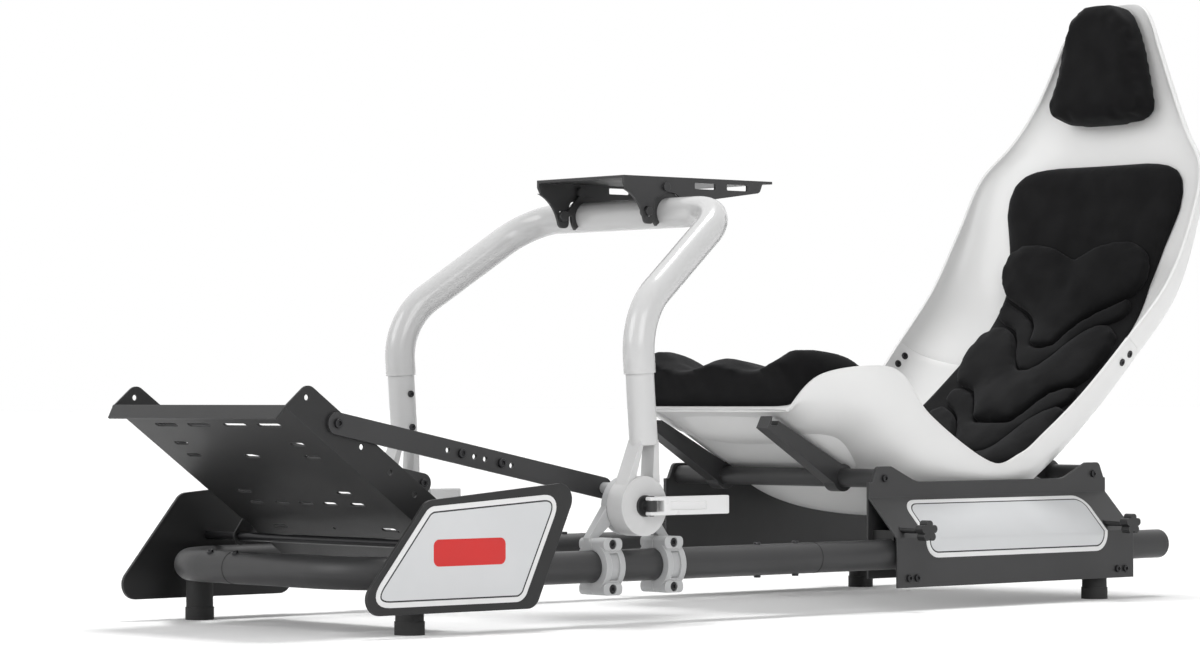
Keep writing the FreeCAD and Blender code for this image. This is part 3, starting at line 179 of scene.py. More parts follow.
MATTE = {"Specular IOR Level": 0.35}
frame_coat = coated("frame_coat", (0.04, 0.04, 0.041), (0.1, 0.1, 0.103), 0.4, 1500, 0.25, 0.0012,
                    sockets=MATTE)
dress(frame_coat, "rail_left", "rail_right", "nose_tube")

# Socket-head screws pin the sleeves inside the frame's joints. They are small turned steel heads with a
# chamfered rim and a drilled socket, blackened.
screw_steel = coated("screw_steel", (0.03, 0.03, 0.032), (0.16, 0.16, 0.16), 0.32, 2200, 0.1, 0.0004,
                     sockets={"Metallic": 0.6})
RAIL_Y, RAIL_Z, RAIL_R = 258, 82, 22.5


def turned(axis):
    """A rotation that lays a shape's own Z along an axis."""
    return Vector(axis).to_track_quat("Z", "Y").to_matrix().to_4x4()


def screw_head(radius, high):
    """A chamfered round head with a socket drilled in it, standing on the origin along Z."""
    shape = bmesh.new()
    bmesh.ops.create_cone(shape, cap_ends=True, segments=20, radius1=radius, radius2=radius, depth=high,
                          matrix=Matrix.Translation((0, 0, high / 2)))
    top = max(shape.faces, key=lambda face: face.calc_center_median().z)
    bmesh.ops.bevel(shape, geom=list(top.edges), offset=radius * 0.16, segments=2, profile=0.5,
                    affect="EDGES", material=-1)
    top = max(shape.faces, key=lambda face: face.calc_center_median().z)
    bmesh.ops.inset_region(shape, faces=[top], thickness=radius * 0.3)
    bmesh.ops.inset_region(shape, faces=[top], thickness=radius * 0.04, depth=-high * 0.6)
    mesh = bpy.data.meshes.new("screw_head")
    shape.to_mesh(mesh)
    shape.free()
    return mesh


def screws(name, spots, radius, high, body):
    """A set of socket-head screws, each given by the foot of its head and the way it points."""
    head = screw_head(radius, high)
    shape = bmesh.new()
    for spot, axis in spots:
        before = len(shape.verts)
        shape.from_mesh(head)
        shape.verts.ensure_lookup_table()
        bmesh.ops.transform(shape, matrix=Matrix.Translation(spot) @ turned(axis), verts=shape.verts[before:])
    bpy.data.meshes.remove(head)
    return make_piece(name, shape, body, [screw_steel])


RAIL_SCREWS_X = (134, 58)
NOSE_X, NOSE_SEAM_Y = 826, -62
NOSE_SCREWS_Y = (NOSE_SEAM_Y - 45, NOSE_SEAM_Y + 14)
NOSE_SCREW_AHEAD, NOSE_SCREW_DROP, NOSE_SCREW_WAY = 9, 3, (0.4, 0, 1)
sleeve_screws = []
for _, sign in SIDES:
    for along in RAIL_SCREWS_X:
        for up in (1, -1):
            sleeve_screws.append(((along, sign * RAIL_Y, RAIL_Z + up * (RAIL_R - 1)), (0, 0, up)))
for across in NOSE_SCREWS_Y:
    spot = (NOSE_X + NOSE_SCREW_AHEAD, across, RAIL_Z + RAIL_R - NOSE_SCREW_DROP)
    sleeve_screws.append((spot, NOSE_SCREW_WAY))
screws("sleeve_screws", sleeve_screws, 5, 4, "frame")

# A fine open seam shows where a rail meets the nose tube, and one in the nose's front run. A hoop of
# shadowed coat stands for each.
seam_black = coated("seam_black", (0.006, 0.006, 0.006), (0.006, 0.006, 0.006), 0.7, 900, 0.1, 0.0004)
SPLICE_X = 22
SEAM_LIFT, SEAM_LONG, SEAM_WALL = 0.25, 1.6, 0.4
seams = bmesh.new()
for spot, axis in (((SPLICE_X, RAIL_Y, RAIL_Z), (1, 0, 0)), ((SPLICE_X, -RAIL_Y, RAIL_Z), (1, 0, 0)),
                   ((NOSE_X, NOSE_SEAM_Y, RAIL_Z), (0, 1, 0))):
    ring = bmesh.ops.create_circle(seams, segments=48, radius=RAIL_R + SEAM_LIFT)["verts"]
    rim = list({edge for vert in ring for edge in vert.link_edges})
    drawn = bmesh.ops.extrude_edge_only(seams, edges=rim)["geom"]
    far = [item for item in drawn if isinstance(item, bmesh.types.BMVert)]
    bmesh.ops.translate(seams, vec=(0, 0, SEAM_LONG), verts=far)
    bmesh.ops.transform(seams, matrix=Matrix.Translation(spot) @ turned(axis), verts=ring + far)
bmesh.ops.solidify(seams, geom=list(seams.faces), thickness=SEAM_WALL)
make_piece("tube_seams", seams, "frame", [seam_black])

# A moulded cap with a domed face closes each rail's rear end.
RAIL_END_X = -738
tube_plastic = coated("tube_plastic", (0.018, 0.018, 0.018), (0.05, 0.05, 0.05), 0.5, 700, 0.2, 0.001)
caps = bmesh.new()
for _, sign in SIDES:
    verts = bmesh.ops.create_cone(caps, cap_ends=True, segments=48, radius1=RAIL_R, radius2=RAIL_R - 0.2,
                                  depth=7)["verts"]
    front = max((face for vert in verts for face in vert.link_faces), key=lambda f: f.calc_center_median().z)
    rim = list(front.edges)
    bmesh.ops.transform(caps, matrix=Matrix.Translation((RAIL_END_X - 3.6, sign * RAIL_Y, RAIL_Z))
                        @ turned((-1, 0, 0)), verts=verts)
    bmesh.ops.bevel(caps, geom=rim, offset=3, segments=4, profile=0.5, affect="EDGES", material=-1)
make_piece("rail_end_caps", caps, "frame", [tube_plastic])

# Four feet of moulded black rubber stand under the frame.
foot_rubber = coated("foot_rubber", (0.022, 0.022, 0.022), (0.04, 0.04, 0.04), 0.75, 500, 0.3, 0.002)
dress(foot_rubber, "foot_rear_left", "foot_rear_right", "foot_front_left", "foot_front_right")

# A flat board stands on each side of the nose, in the tubes' black coat, given a darker copy of it as painted
# shade. The left one carries a printed panel: a white band, a fine dark line, and a pale field with one plain
# red bar.
# A darker copy of the frame coat: painted shade for the boards and the pedal deck.
sheet_coat_painted_shade = coated("sheet_coat_painted_shade", (0.02, 0.02, 0.0205), (0.07, 0.07, 0.072), 0.44, 1500, 0.25, 0.0012,
                    sockets=MATTE)
dress(sheet_coat_painted_shade, "nose_board_left", "nose_board_right")
print_white = coated("print_white", (0.80, 0.80, 0.80), (0.86, 0.86, 0.86), 0.3, 300, 0.05, 0.0006,
                     spread=0.03)
print_field = coated("print_field", (0.66, 0.67, 0.68), (0.7, 0.7, 0.7), 0.3, 300, 0.05, 0.0006, spread=0.04)
print_line = coated("print_line", (0.015, 0.015, 0.016), (0.03, 0.03, 0.03), 0.35, 300, 0.05, 0.0003)
print_red = coated("print_red", (0.62, 0.014, 0.012), (0.66, 0.03, 0.03), 0.3, 300, 0.05, 0.0003, spread=0.06)
PANEL_PAINTS = [print_white, print_line, print_field, print_red]
WHITE, LINE, FIELD, RED = range(4)
board_side = max(nodes["nose_board_left"].data.polygons, key=lambda face: face.area * (face.normal.y > 0.5))
BOARD_PANEL = ((868, 40), (759, 172), (526, 186), (596, 40))
BOARD_BAR = ((752, 92), (752, 128), (628, 128), (628, 92))


def printed(corners, radius, lift, paint):
    """A thin plate in the XZ plane with rounded corners, and its face, which lies at a lift off the plane."""
    shape = bmesh.new()
    verts = [shape.verts.new((x, 0, z)) for x, z in corners]
    shape.faces.new(verts)
    setbacks = [(vert, radius / math.tan(vert.link_loops[0].calc_angle() / 2)) for vert in verts]
    for vert, setback in setbacks:
        bmesh.ops.bevel(shape, geom=[vert], offset=setback, offset_type="OFFSET", segments=8, profile=0.5,
                        affect="VERTICES", material=-1)
    grown = bmesh.ops.extrude_face_region(shape, geom=shape.faces[:])["geom"]
    top = [item for item in grown if isinstance(item, bmesh.types.BMFace)][0]
    bmesh.ops.translate(shape, vec=(0, lift, 0), verts=list(top.verts))
    for face in shape.faces:
        face.material_index = paint
    return shape, top


def line_in(shape, top, band, line):
    """Rule a fine line round a plate's face, one band in from its edge, and paint the field inside it."""
    bmesh.ops.inset_region(shape, faces=[top], thickness=band)
    ruled = bmesh.ops.inset_region(shape, faces=[top], thickness=line)["faces"]
    for face in ruled:
        face.material_index = LINE
    top.material_index = FIELD


badge, badge_top = printed(BOARD_PANEL, 20, 0.8, WHITE)
line_in(badge, badge_top, 7, 2.2)
bar, _ = printed(BOARD_BAR, 9, 1.1, RED)
board_spot, board_way = board_side.center / MM, board_side.normal
for name, plate in (("nose_badge", badge), ("nose_badge_bar", bar)):
    for vert in plate.verts:
        slope = board_way.x * (vert.co.x - board_spot.x) + board_way.z * (vert.co.z - board_spot.z)
        vert.co.y += board_spot.y - slope / board_way.y
    make_piece(name, plate, "frame", PANEL_PAINTS)

# The pedal deck is one folded sheet on a steel axle, tied to the castings by a drilled strut on each side.
# Black socket screws hold the struts and fill two of their holes.
# The pedal deck takes the darker copy of the coat as painted shade, as the boards do.
dress(sheet_coat_painted_shade, "pedal_deck")
dress(frame_coat, "pedal_strut_left", "pedal_strut_right")
dress(screw_steel, "pedal_axle")
STRUT_REAR = Vector((382, 0, 189))
DECK_FOOT = Vector((640, 0, 95))
DECK_SLOPE = math.radians(36)
DECK_UP = Vector((math.cos(DECK_SLOPE), 0, math.sin(DECK_SLOPE)))
DECK_OFF = Vector((-math.sin(DECK_SLOPE), 0, math.cos(DECK_SLOPE)))
STRUT_FRONT = DECK_FOOT + DECK_UP * 281 + DECK_OFF * 28
STRUT_FACE = 207
STRUT_THICK = 5
STRUT_SCREWS = (0, 0.4, 0.55, 1)
strut_screws = []
for _, sign in SIDES:
    for share in STRUT_SCREWS:
        spot = STRUT_REAR.lerp(STRUT_FRONT, share)
        strut_screws.append(((spot.x, sign * STRUT_FACE, spot.z), (0, sign, 0)))
        strut_screws.append(((spot.x, sign * (STRUT_FACE - STRUT_THICK), spot.z), (0, -sign, 0)))
screws("strut_screws", strut_screws, 6.5, 4.5, "frame")

# The pivot castings, their clamp caps and the knuckles are die-cast and painted a pale satin grey. Two
# socket screws, sunk in its lugs, draw each cap onto the rail. The pin has a black moulded collar.
knob_plastic = coated("knob_plastic", (0.014, 0.014, 0.0145), (0.05, 0.05, 0.05), 0.45, 900, 0.25, 0.0018)
casting_paint = coated("casting_paint", (0.47, 0.475, 0.48), (0.6, 0.6, 0.6), 0.36, 420, 0.22, 0.0022,
                       spread=0.05)
knuckle_paint = coated("knuckle_paint", (0.62, 0.62, 0.62), (0.7, 0.7, 0.7), 0.3, 420, 0.15, 0.0022,
                       spread=0.04)
for side, _ in SIDES:
    dress(casting_paint, f"pivot_base_{side}", f"clamp_cap_front_{side}", f"clamp_cap_rear_{side}")
    dress(knuckle_paint, f"hoop_knuckle_{side}")
    dress(knob_plastic, f"pivot_pin_{side}")
PIVOT_X, PIVOT_Z = 376, 165
CLAMP_REACH = 57
CLAMP_SEAT_Y = 278.3
CLAMP_LUG = 17
clamp_screws = []
for _, sign in SIDES:
    for toward in (CLAMP_REACH, -CLAMP_REACH):
        for rise in (RAIL_R + CLAMP_LUG / 2, -RAIL_R - CLAMP_LUG / 2):
            clamp_screws.append(((PIVOT_X + toward, sign * CLAMP_SEAT_Y, RAIL_Z + rise), (0, sign, 0)))
screws("clamp_screws", clamp_screws, 6.2, 5, "frame")

# The quick-release levers are cast and painted white. Each has a forked head on a steel pin and a shallow
# recess along its outer face.
lever_paint = coated("lever_paint", (0.78, 0.78, 0.78), (0.82, 0.82, 0.82), 0.28, 420, 0.12, 0.0016,
                     spread=0.03)
LEVER_Y, LEVER_LONG, LEVER_THICK, LEVER_HIGH, FORK_GAP = 301, 142, 13, 26, 15
RECESS_FROM, RECESS_TO, RECESS_HIGH = 278, 346, 12
lever_tip = PIVOT_X - LEVER_LONG
lever_nose = PIVOT_X + LEVER_THICK / 2
fork_root = PIVOT_X - 1.2 * FORK_GAP
LEVER_OUTLINE = (
    (lever_tip, -LEVER_HIGH / 2), (lever_nose, -LEVER_HIGH / 2), (lever_nose, -FORK_GAP / 2),
    (fork_root, -FORK_GAP / 2), (fork_root, FORK_GAP / 2), (lever_nose, FORK_GAP / 2),
    (lever_nose, LEVER_HIGH / 2), (lever_tip, LEVER_HIGH / 2))
for side, sign in SIDES:
    lever = bmesh.new()
    side_face = lever.faces.new([lever.verts.new((x, LEVER_Y - LEVER_THICK / 2, PIVOT_Z + z))
                                 for x, z in LEVER_OUTLINE])
    grown = bmesh.ops.extrude_face_region(lever, geom=[side_face])["geom"]
    bmesh.ops.translate(lever, vec=(0, LEVER_THICK, 0),
                        verts=[item for item in grown if isinstance(item, bmesh.types.BMVert)])
    bmesh.ops.bevel(lever, geom=lever.edges[:], offset=1.8, segments=3, profile=0.5, affect="EDGES",
                    material=-1)
    for spot, facing in (((RECESS_FROM, 0, 0), (1, 0, 0)), ((RECESS_TO, 0, 0), (1, 0, 0)),
                         ((0, 0, PIVOT_Z - RECESS_HIGH / 2), (0, 0, 1)),
                         ((0, 0, PIVOT_Z + RECESS_HIGH / 2), (0, 0, 1))):
        bmesh.ops.bisect_plane(lever, geom=lever.verts[:] + lever.edges[:] + lever.faces[:],
                               plane_co=spot, plane_no=facing)
    recess = []
    for face in lever.faces:
        middle = face.calc_center_median()
        if (middle.y > LEVER_Y + LEVER_THICK / 2 - 0.1 and RECESS_FROM < middle.x < RECESS_TO
                and abs(middle.z - PIVOT_Z) < RECESS_HIGH / 2):
            recess.append(face)
    bmesh.ops.recalc_face_normals(lever, faces=lever.faces[:])
    bmesh.ops.inset_region(lever, faces=recess, thickness=1, depth=-1.6)
    bmesh.ops.scale(lever, vec=(1, sign, 1), verts=lever.verts)
    piece = make_piece(f"lever_arm_{side}", lever, f"lever_{side}_body", [lever_paint])
    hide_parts(f"lever_{side}")
    pin_ends = [((PIVOT_X, sign * LEVER_Y, PIVOT_Z + up * LEVER_HIGH / 2), (0, 0, up)) for up in (1, -1)]
    screws(f"lever_pin_ends_{side}", pin_ends, 3.8, 1.2, f"lever_{side}_body")

# The wheel hoop is one bent steel tube, sprayed gloss white.
hoop_paint = coated("hoop_paint", (0.6, 0.6, 0.6), (0.64, 0.64, 0.64), 0.22, 260, 0.06, 0.001, spread=0.025,
                    sockets={"Coat Weight": 0.4})
dress(hoop_paint, "wheel_hoop")
UPRIGHT_SCREWS, UPRIGHT_INNER_Y = ((368, 322), (365, 272)), 250
upright_screws = [((x, -sign * UPRIGHT_INNER_Y, height), (0, sign, 0))
                  for sign in (1, -1) for x, height in UPRIGHT_SCREWS]
screws("upright_screws", upright_screws, 5, 3.5, "hoop")

# The wheel deck is a thin folded sheet on two welded brackets, all powder-coated black.
dress(frame_coat, "wheel_deck", "deck_bracket_left", "deck_bracket_right")

# Each seat slide is a folded black sheet over the rail, running on a plastic glide. A printed panel is bent
# over its shoulder, and star knobs, ear bolts and screws hold it together.
for side, _ in SIDES:
    dress(frame_coat, f"seat_slide_{side}", f"seat_arm_{side}", f"seat_clip_{side}")
    dress(tube_plastic, f"seat_glide_{side}")
    dress(knob_plastic, f"knob_front_{side}", f"knob_rear_{side}")
dress(frame_coat, "seat_tube_front", "seat_tube_rear")
SLIDE_FACE, SHOULDER_Z = 287, 107
NECK_Y, NECK_Z = 229, 166
SLIDE_PANEL = ((-589, -31), (-589, 75), (-185, 75), (-185, -31))
FACE_SCREWS_X, FACE_SCREWS_Z = (-148, -165, -612, -630), 47
EAR_BOLTS_X, EAR_BOLTS_Z = (-156, -621), 194
lean = Vector((0, NECK_Y - SLIDE_FACE, NECK_Z - SHOULDER_Z)).normalized()
slide_screws = []
for side, sign in SIDES:
    panel, panel_top = printed(SLIDE_PANEL, 26, 0.8, WHITE)
    line_in(panel, panel_top, 7, 2.2)
    bmesh.ops.bisect_plane(panel, geom=panel.verts[:] + panel.edges[:] + panel.faces[:],
                           plane_co=(0, 0, 0), plane_no=(0, 0, 1))
    out = Vector((0, -lean.z, lean.y)) * -1
    for vert in panel.verts:
        x, off, up = vert.co
        if up > 0:
            vert.co = Vector((x, SLIDE_FACE, SHOULDER_Z)) + lean * up + out * off
        else:
            vert.co = (x, SLIDE_FACE + off, SHOULDER_Z + up)
        vert.co.y *= sign
    make_piece(f"slide_panel_{side}", panel, "seat", PANEL_PAINTS, sharp=60)
    for along in FACE_SCREWS_X:
        slide_screws.append(((along, sign * SLIDE_FACE, FACE_SCREWS_Z), (0, sign, 0)))
    for along in EAR_BOLTS_X:
        slide_screws.append(((along, sign * NECK_Y, EAR_BOLTS_Z), (0, sign, 0)))
screws("slide_screws", slide_screws, 5.5, 4, "seat")

# The seat shell is two white satin mouldings, a pan and a back, joined at the waist by two bolts a side. It
# is a bowl that runs through these stations: floor X and Z, rim X and Z, and half width, in millimetres.
SEAT_STATIONS = (
    (-9, 276, -7, 276.4, 168),
    (-17, 302, -15.4, 303.6, 172),
    (-72, 258, -50, 349, 199),
    (-140, 240, -125, 363, 233),
    (-205, 184, -190, 350, 229),
    (-275, 148, -258, 288, 221),
    (-390, 134, -398, 216, 213),
    (-490, 142, -470, 228, 213),
    (-575, 188, -515, 260, 222),
    (-664, 268, -588, 322, 237),
    (-752, 360, -679, 409, 249),
    (-835, 454, -766, 497, 256),
    (-880, 568, -826, 594, 253),
    (-906, 671, -868, 684, 239),
    (-925, 741, -896, 749, 186),
    (-938, 828, -915, 832, 136),
    (-940, 971, -928, 972, 72),
)
BOWL_POWER = 2.6
SHELL_WALL = 6
PAN_FROM, SEAM = 0.75, 10
CROWN = len(SEAT_STATIONS) - 1
CROWN_ROUND = 0.5


def bowl_at(along):
    """The bowl's floor point, way up, depth and half width at a place along its stations."""
    before = min(int(along), CROWN - 1)
    share = along - before
    fields = []
    for field in range(5):
        knots = [SEAT_STATIONS[min(max(index, 0), CROWN)][field] for index in range(before - 1, before + 3)]
        start = (knots[2] - knots[0]) / 2
        end = (knots[3] - knots[1]) / 2
        rise = knots[2] - knots[1]
        fields.append(knots[1] + share * (start + share * (
            3 * rise - 2 * start - end + share * (start + end - 2 * rise))))
    floor = Vector((fields[0], 0, fields[1]))
    up = Vector((fields[2], 0, fields[3])) - floor
    return floor, up.normalized(), up.length, fields[4]


def bowl_point(along, across):
    """A point of the bowl's inner face: across runs from -1 at one rim to 1 at the other."""
    floor, up, depth, half = bowl_at(along)
    swing = across * math.pi / 2
    side = math.copysign(abs(math.sin(swing)) ** (2 / BOWL_POWER), swing)
    fall = abs(math.cos(swing)) ** (2 / BOWL_POWER)
    return floor + Vector((0, half * side, 0)) + up * (depth * (1 - fall))


shell_satin = coated("shell_satin", (0.80, 0.80, 0.795), (0.84, 0.84, 0.84), 0.34, 180, 0.05, 0.001,
                     spread=0.02, sockets={"Coat Weight": 0.15})


def shell(name, first, last, node):
    """A stretch of the bowl as a moulding with a wall and a rounded rim."""
    shape = bmesh.new()
    bmesh.ops.create_grid(shape, x_segments=round((last - first) * 9), y_segments=72, size=1)
    for vert in shape.verts:
        along = first + (last - first) * (vert.co.x + 1) / 2
        along -= CROWN_ROUND * abs(vert.co.y) ** 3 * max(along - CROWN + 1, 0)
        vert.co = bowl_point(along, vert.co.y)
    shape.normal_update()
    middle = min(shape.faces, key=lambda face: abs(face.calc_center_median().y))
    if middle.normal.dot(bowl_at((first + last) / 2)[1]) < 0:
        bmesh.ops.reverse_faces(shape, faces=shape.faces[:])
    piece = make_piece(name, shape, "seat", [shell_satin], sharp=80, closed=False)
    wall = piece.modifiers.new("wall", "SOLIDIFY")
    wall.thickness = SHELL_WALL * MM
    wall.offset = -1
    rim = piece.modifiers.new("rim", "BEVEL")
    rim.width = 2.2 * MM
    rim.segments = 3
    rim.limit_method = "ANGLE"
    rim.angle_limit = math.radians(60)
    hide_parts(node)
    return piece


shell("seat_pan_moulding", PAN_FROM, SEAM, "seat_pan")
shell("seat_back_moulding", SEAM, CROWN, "seat_back")
bowl_grid = bmesh.new()
bmesh.ops.create_grid(bowl_grid, x_segments=CROWN * 9, y_segments=72, size=1)
for vert in bowl_grid.verts:
    vert.co = bowl_point(CROWN * (vert.co.x + 1) / 2, vert.co.y) * MM
bowl_grid.normal_update()
bowl_tree = BVHTree.FromBMesh(bowl_grid)
bowl_grid.free()
HIP_BOLTS = ((-684, 384), (-667, 371))
hip_bolts = []
for _, sign in SIDES:
    for x, z in HIP_BOLTS:
        spot, facing, _, _ = bowl_tree.ray_cast(Vector((x, 0, z)) * MM, Vector((0, sign, 0)))
        inward = facing if facing.y * sign < 0 else -facing
        hip_bolts.append((spot / MM - inward * 0.5, inward))
        hip_bolts.append((spot / MM - inward * (SHELL_WALL - 1), -inward))
screws("hip_bolts", hip_bolts, 6, 3, "seat")

# A white moulded panel closes the pan from below, from its front lip back to the bowl. Its sides roll up to
# the bowl's flanks.
PANEL_FRONT, PANEL_REAR = Vector((-15, 0, 294)), Vector((-182, 0, 200))
PANEL_HALF, PANEL_FLAT, PANEL_ROLL = 166, 120, 50
PANEL_WALL = 3
under = bmesh.new()
bmesh.ops.create_grid(under, x_segments=24, y_segments=48, size=1)
for vert in under.verts:
    share = (vert.co.x + 1) / 2
    side = PANEL_HALF * vert.co.y
    roll = max(abs(side) - PANEL_FLAT, 0) / (PANEL_HALF - PANEL_FLAT)
    lift = PANEL_ROLL * roll ** 2 * min(3 * share, 1)
    vert.co = PANEL_FRONT.lerp(PANEL_REAR, share) + Vector((0, side, lift))
bmesh.ops.recalc_face_normals(under, faces=under.faces[:])
bmesh.ops.solidify(under, geom=under.faces[:], thickness=PANEL_WALL)
make_piece("pan_under_panel", under, "seat", [shell_satin])

# The pads are foam under black suede-like cloth. The cloth has a short nap that catches the light at a
# grazing angle and shows faint brushed patches.
suede = bpy.data.materials.new("suede")
suede.use_nodes = True
tree = suede.node_tree
shader = tree.nodes["Principled BSDF"]
shader.inputs["Sheen Weight"].default_value = 0.07
shader.inputs["Sheen Roughness"].default_value = 0.45
shader.inputs["Sheen Tint"].default_value = (0.55, 0.55, 0.58, 1)
shader.inputs["Specular IOR Level"].default_value = 0.2
nap = group_node(tree, pebble, Grain=2600.0, Patch=22.0)
pile = blend_colour(tree, nap.outputs["Mask"], (0.0018, 0.0018, 0.002), (0.003, 0.003, 0.0032))
fibre = remap(tree, nap.outputs["Height"], 0.3, 0.7, 0, 1)
tree.links.new(blend_colour(tree, fibre, pile, (0.0045, 0.0045, 0.005)), shader.inputs["Base Color"])
tree.links.new(remap(tree, nap.outputs["Mask"], 0, 1, 0.85, 0.98), shader.inputs["Roughness"])
ruffle = tree.nodes.new("ShaderNodeBump")
ruffle.inputs["Strength"].default_value = 0.5
ruffle.inputs["Distance"].default_value = 0.0004
tree.links.new(nap.outputs["Height"], ruffle.inputs["Height"])
tree.links.new(ruffle.outputs["Normal"], shader.inputs["Normal"])
PAD_GAP = 0.6
PAD_EDGE = 4
PAD_SOFT = 12


def spread_over(values, share):
    """A value from an even list at a share of its length."""
    spot = min(max(share, 0), 1) * (len(values) - 1)
    before = min(int(spot), len(values) - 2)
    return values[before] + (values[before + 1] - values[before]) * (spot - before)


def read_off(table, key):
    """A value from a table of rising keys, straight between its rows."""
    for (low, first), (high, second) in zip(table, table[1:]):
        if key <= high:
            return first + (second - first) * max((key - low) / (high - low), 0)
    return table[-1][1]


def plump(piece, voxel, cap, held):
    """Swell a sewn pad by the pressure of its foam, by no more than a cap, with its held points fixed."""
    remesh = piece.modifiers.new("sewn", "REMESH")
    remesh.mode = "VOXEL"
    remesh.voxel_size = voxel * MM
    swap_mesh(piece)
    sewn = [vert.co.copy() for vert in piece.data.vertices]
    fixed = piece.vertex_groups.new(name="held")
    fixed.add([index for index, spot in enumerate(sewn) if held(spot)], 1, "REPLACE")
    foam = piece.modifiers.new("foam", "CLOTH")
    foam.settings.vertex_group_mass = "held"
    foam.settings.use_pressure = True
    foam.settings.uniform_pressure_force = 4
    foam.settings.effector_weights.gravity = 0
    for step in range(1, 21):
        bpy.context.scene.frame_set(step)
    swap_mesh(piece)
    for vert, start in zip(piece.data.vertices, sewn):
        move = vert.co - start
        if move.length > cap * MM:
            vert.co = start + move.normalized() * cap * MM
    piece.vertex_groups.clear()
    bpy.context.scene.frame_set(1)


def swap_mesh(piece):
    """Apply a piece's modifiers to its mesh."""
    graph = bpy.context.evaluated_depsgraph_get()
    graph.update()
    mesh = bpy.data.meshes.new_from_object(piece.evaluated_get(graph))
    piece.modifiers.clear()
    piece.data = mesh
    mesh.shade_smooth()


def relax(piece, rounds):
    """Ease out the voxel steps of a pad and give it a finer skin."""
    ease = piece.modifiers.new("ease", "SMOOTH")
    ease.factor = 0.5
    ease.iterations = rounds
    swap_mesh(piece)


# The thigh cushion fills the pan from its lip to its floor, with a flat front and three soft humps across.
CUSHION_HEIGHTS = (70, 114, 108, 106, 104, 98, 84, 58, 50, 44)
CUSHION_REACHES = (0.79, 0.79, 0.8, 0.84, 0.88, 0.9, 0.92, 0.93, 0.92, 0.9)
CUSHION_HUMPS = (7, 11, 8, 5, 3, 0, 0)
CUSHION_FIRST, CUSHION_LAST = 4 / 3, 22 / 3
HUMP_PITCH = 166
HUMP_LIFT = 1.8


def bowl_pad(name, rows, columns, surface):
    """A closed pad from a grid: the surface gives a point for a share along, a share across and a side."""
    shape = bmesh.new()
    bmesh.ops.create_grid(shape, x_segments=rows, y_segments=columns, size=1)
    grown = bmesh.ops.extrude_face_region(shape, geom=shape.faces[:])["geom"]
    raised = [item for item in grown if isinstance(item, bmesh.types.BMVert)]
    bmesh.ops.translate(shape, vec=(0, 0, 1), verts=raised)
    for vert in shape.verts:
        vert.co = surface((vert.co.x + 1) / 2, vert.co.y, vert.co.z > 0.5)
    return make_piece(name, shape, "seat", [suede], sharp=180)


def cushion_surface(share, across, top):
    """The thigh cushion's upper face or its underside."""
    along = CUSHION_FIRST + (CUSHION_LAST - CUSHION_FIRST) * share
    below = bowl_point(along, across * spread_over(CUSHION_REACHES, share))
    floor, up, _, _ = bowl_at(along)
    if not top:
        return below + up * PAD_GAP
    pitch = below.y / HUMP_PITCH
    swell = spread_over(CUSHION_HUMPS, share) * (math.cos(2 * math.pi * pitch) + HUMP_LIFT * pitch ** 2)
    room = spread_over(CUSHION_HEIGHTS, share) + swell - (below - floor).dot(up) - PAD_EDGE
    fill = (room + math.hypot(room, PAD_SOFT)) / 2
    return below + up * (PAD_EDGE + fill * (1 - across ** 8))


def on_bowl(spot):
    """Whether a point of a pad lies on the shell."""
    return bowl_tree.find_nearest(spot)[3] < 7 * MM


thigh = bowl_pad("thigh_pad", 60, 56, cushion_surface)
plump(thigh, 6, 4, on_bowl)
relax(thigh, 4)
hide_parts("thigh_cushion")

# A thin padded liner covers the shell behind the driver, from the waist to the shoulders.
LINER_EDGE = ((7.36, 211), (8.15, 205), (8.95, 190), (9.77, 174), (10.5, 158), (11.32, 156), (11.86, 170),
              (12.43, 190), (12.7, 191), (12.95, 184), (13.15, 168), (13.27, 148), (13.34, 122), (13.37, 96))
LINER_LIFT = ((7.36, 12), (11.0, 13), (11.6, 17), (12.2, 23), (12.9, 24), (13.37, 18))
LINER_FIRST, LINER_LAST = 7.36, 13.37


def seat_point(along, side, lift):
    """A point above the bowl at a place along and a distance to the side, the hollow bridged to a lift."""
    floor, up, depth, half = bowl_at(along)
    reach = min(abs(side) / half, 0.999)
    rise = depth * (1 - (1 - reach ** BOWL_POWER) ** (1 / BOWL_POWER))
    room = lift - rise
    bridged = rise + (room + math.hypot(room, 5)) / 2
    return floor + Vector((0, side, 0)) + up * bridged


def liner_surface(share, across, top):
    """The liner's upper face or its underside, with edges that roll under."""
    along = LINER_FIRST + (LINER_LAST - LINER_FIRST) * share
    side = across * read_off(LINER_EDGE, along)
    floor, up, depth, half = bowl_at(along)
    reach = min(abs(side) / half, 0.999)
    rise = depth * (1 - (1 - reach ** BOWL_POWER) ** (1 / BOWL_POWER))
    under = floor + Vector((0, side, 0)) + up * (rise + PAD_GAP)
    if not top:
        return under
    ends = min(share, 1 - share) * 14
    roll = (1 - across ** 16) * (1 - max(1 - ends, 0) ** 3)
    upper = seat_point(along, side, read_off(LINER_LIFT, along)) + up * 5
    return under.lerp(upper, 0.25 + 0.75 * roll)


liner = bowl_pad("back_liner", 110, 60, liner_surface)
relax(liner, 2)
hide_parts("back_pad")

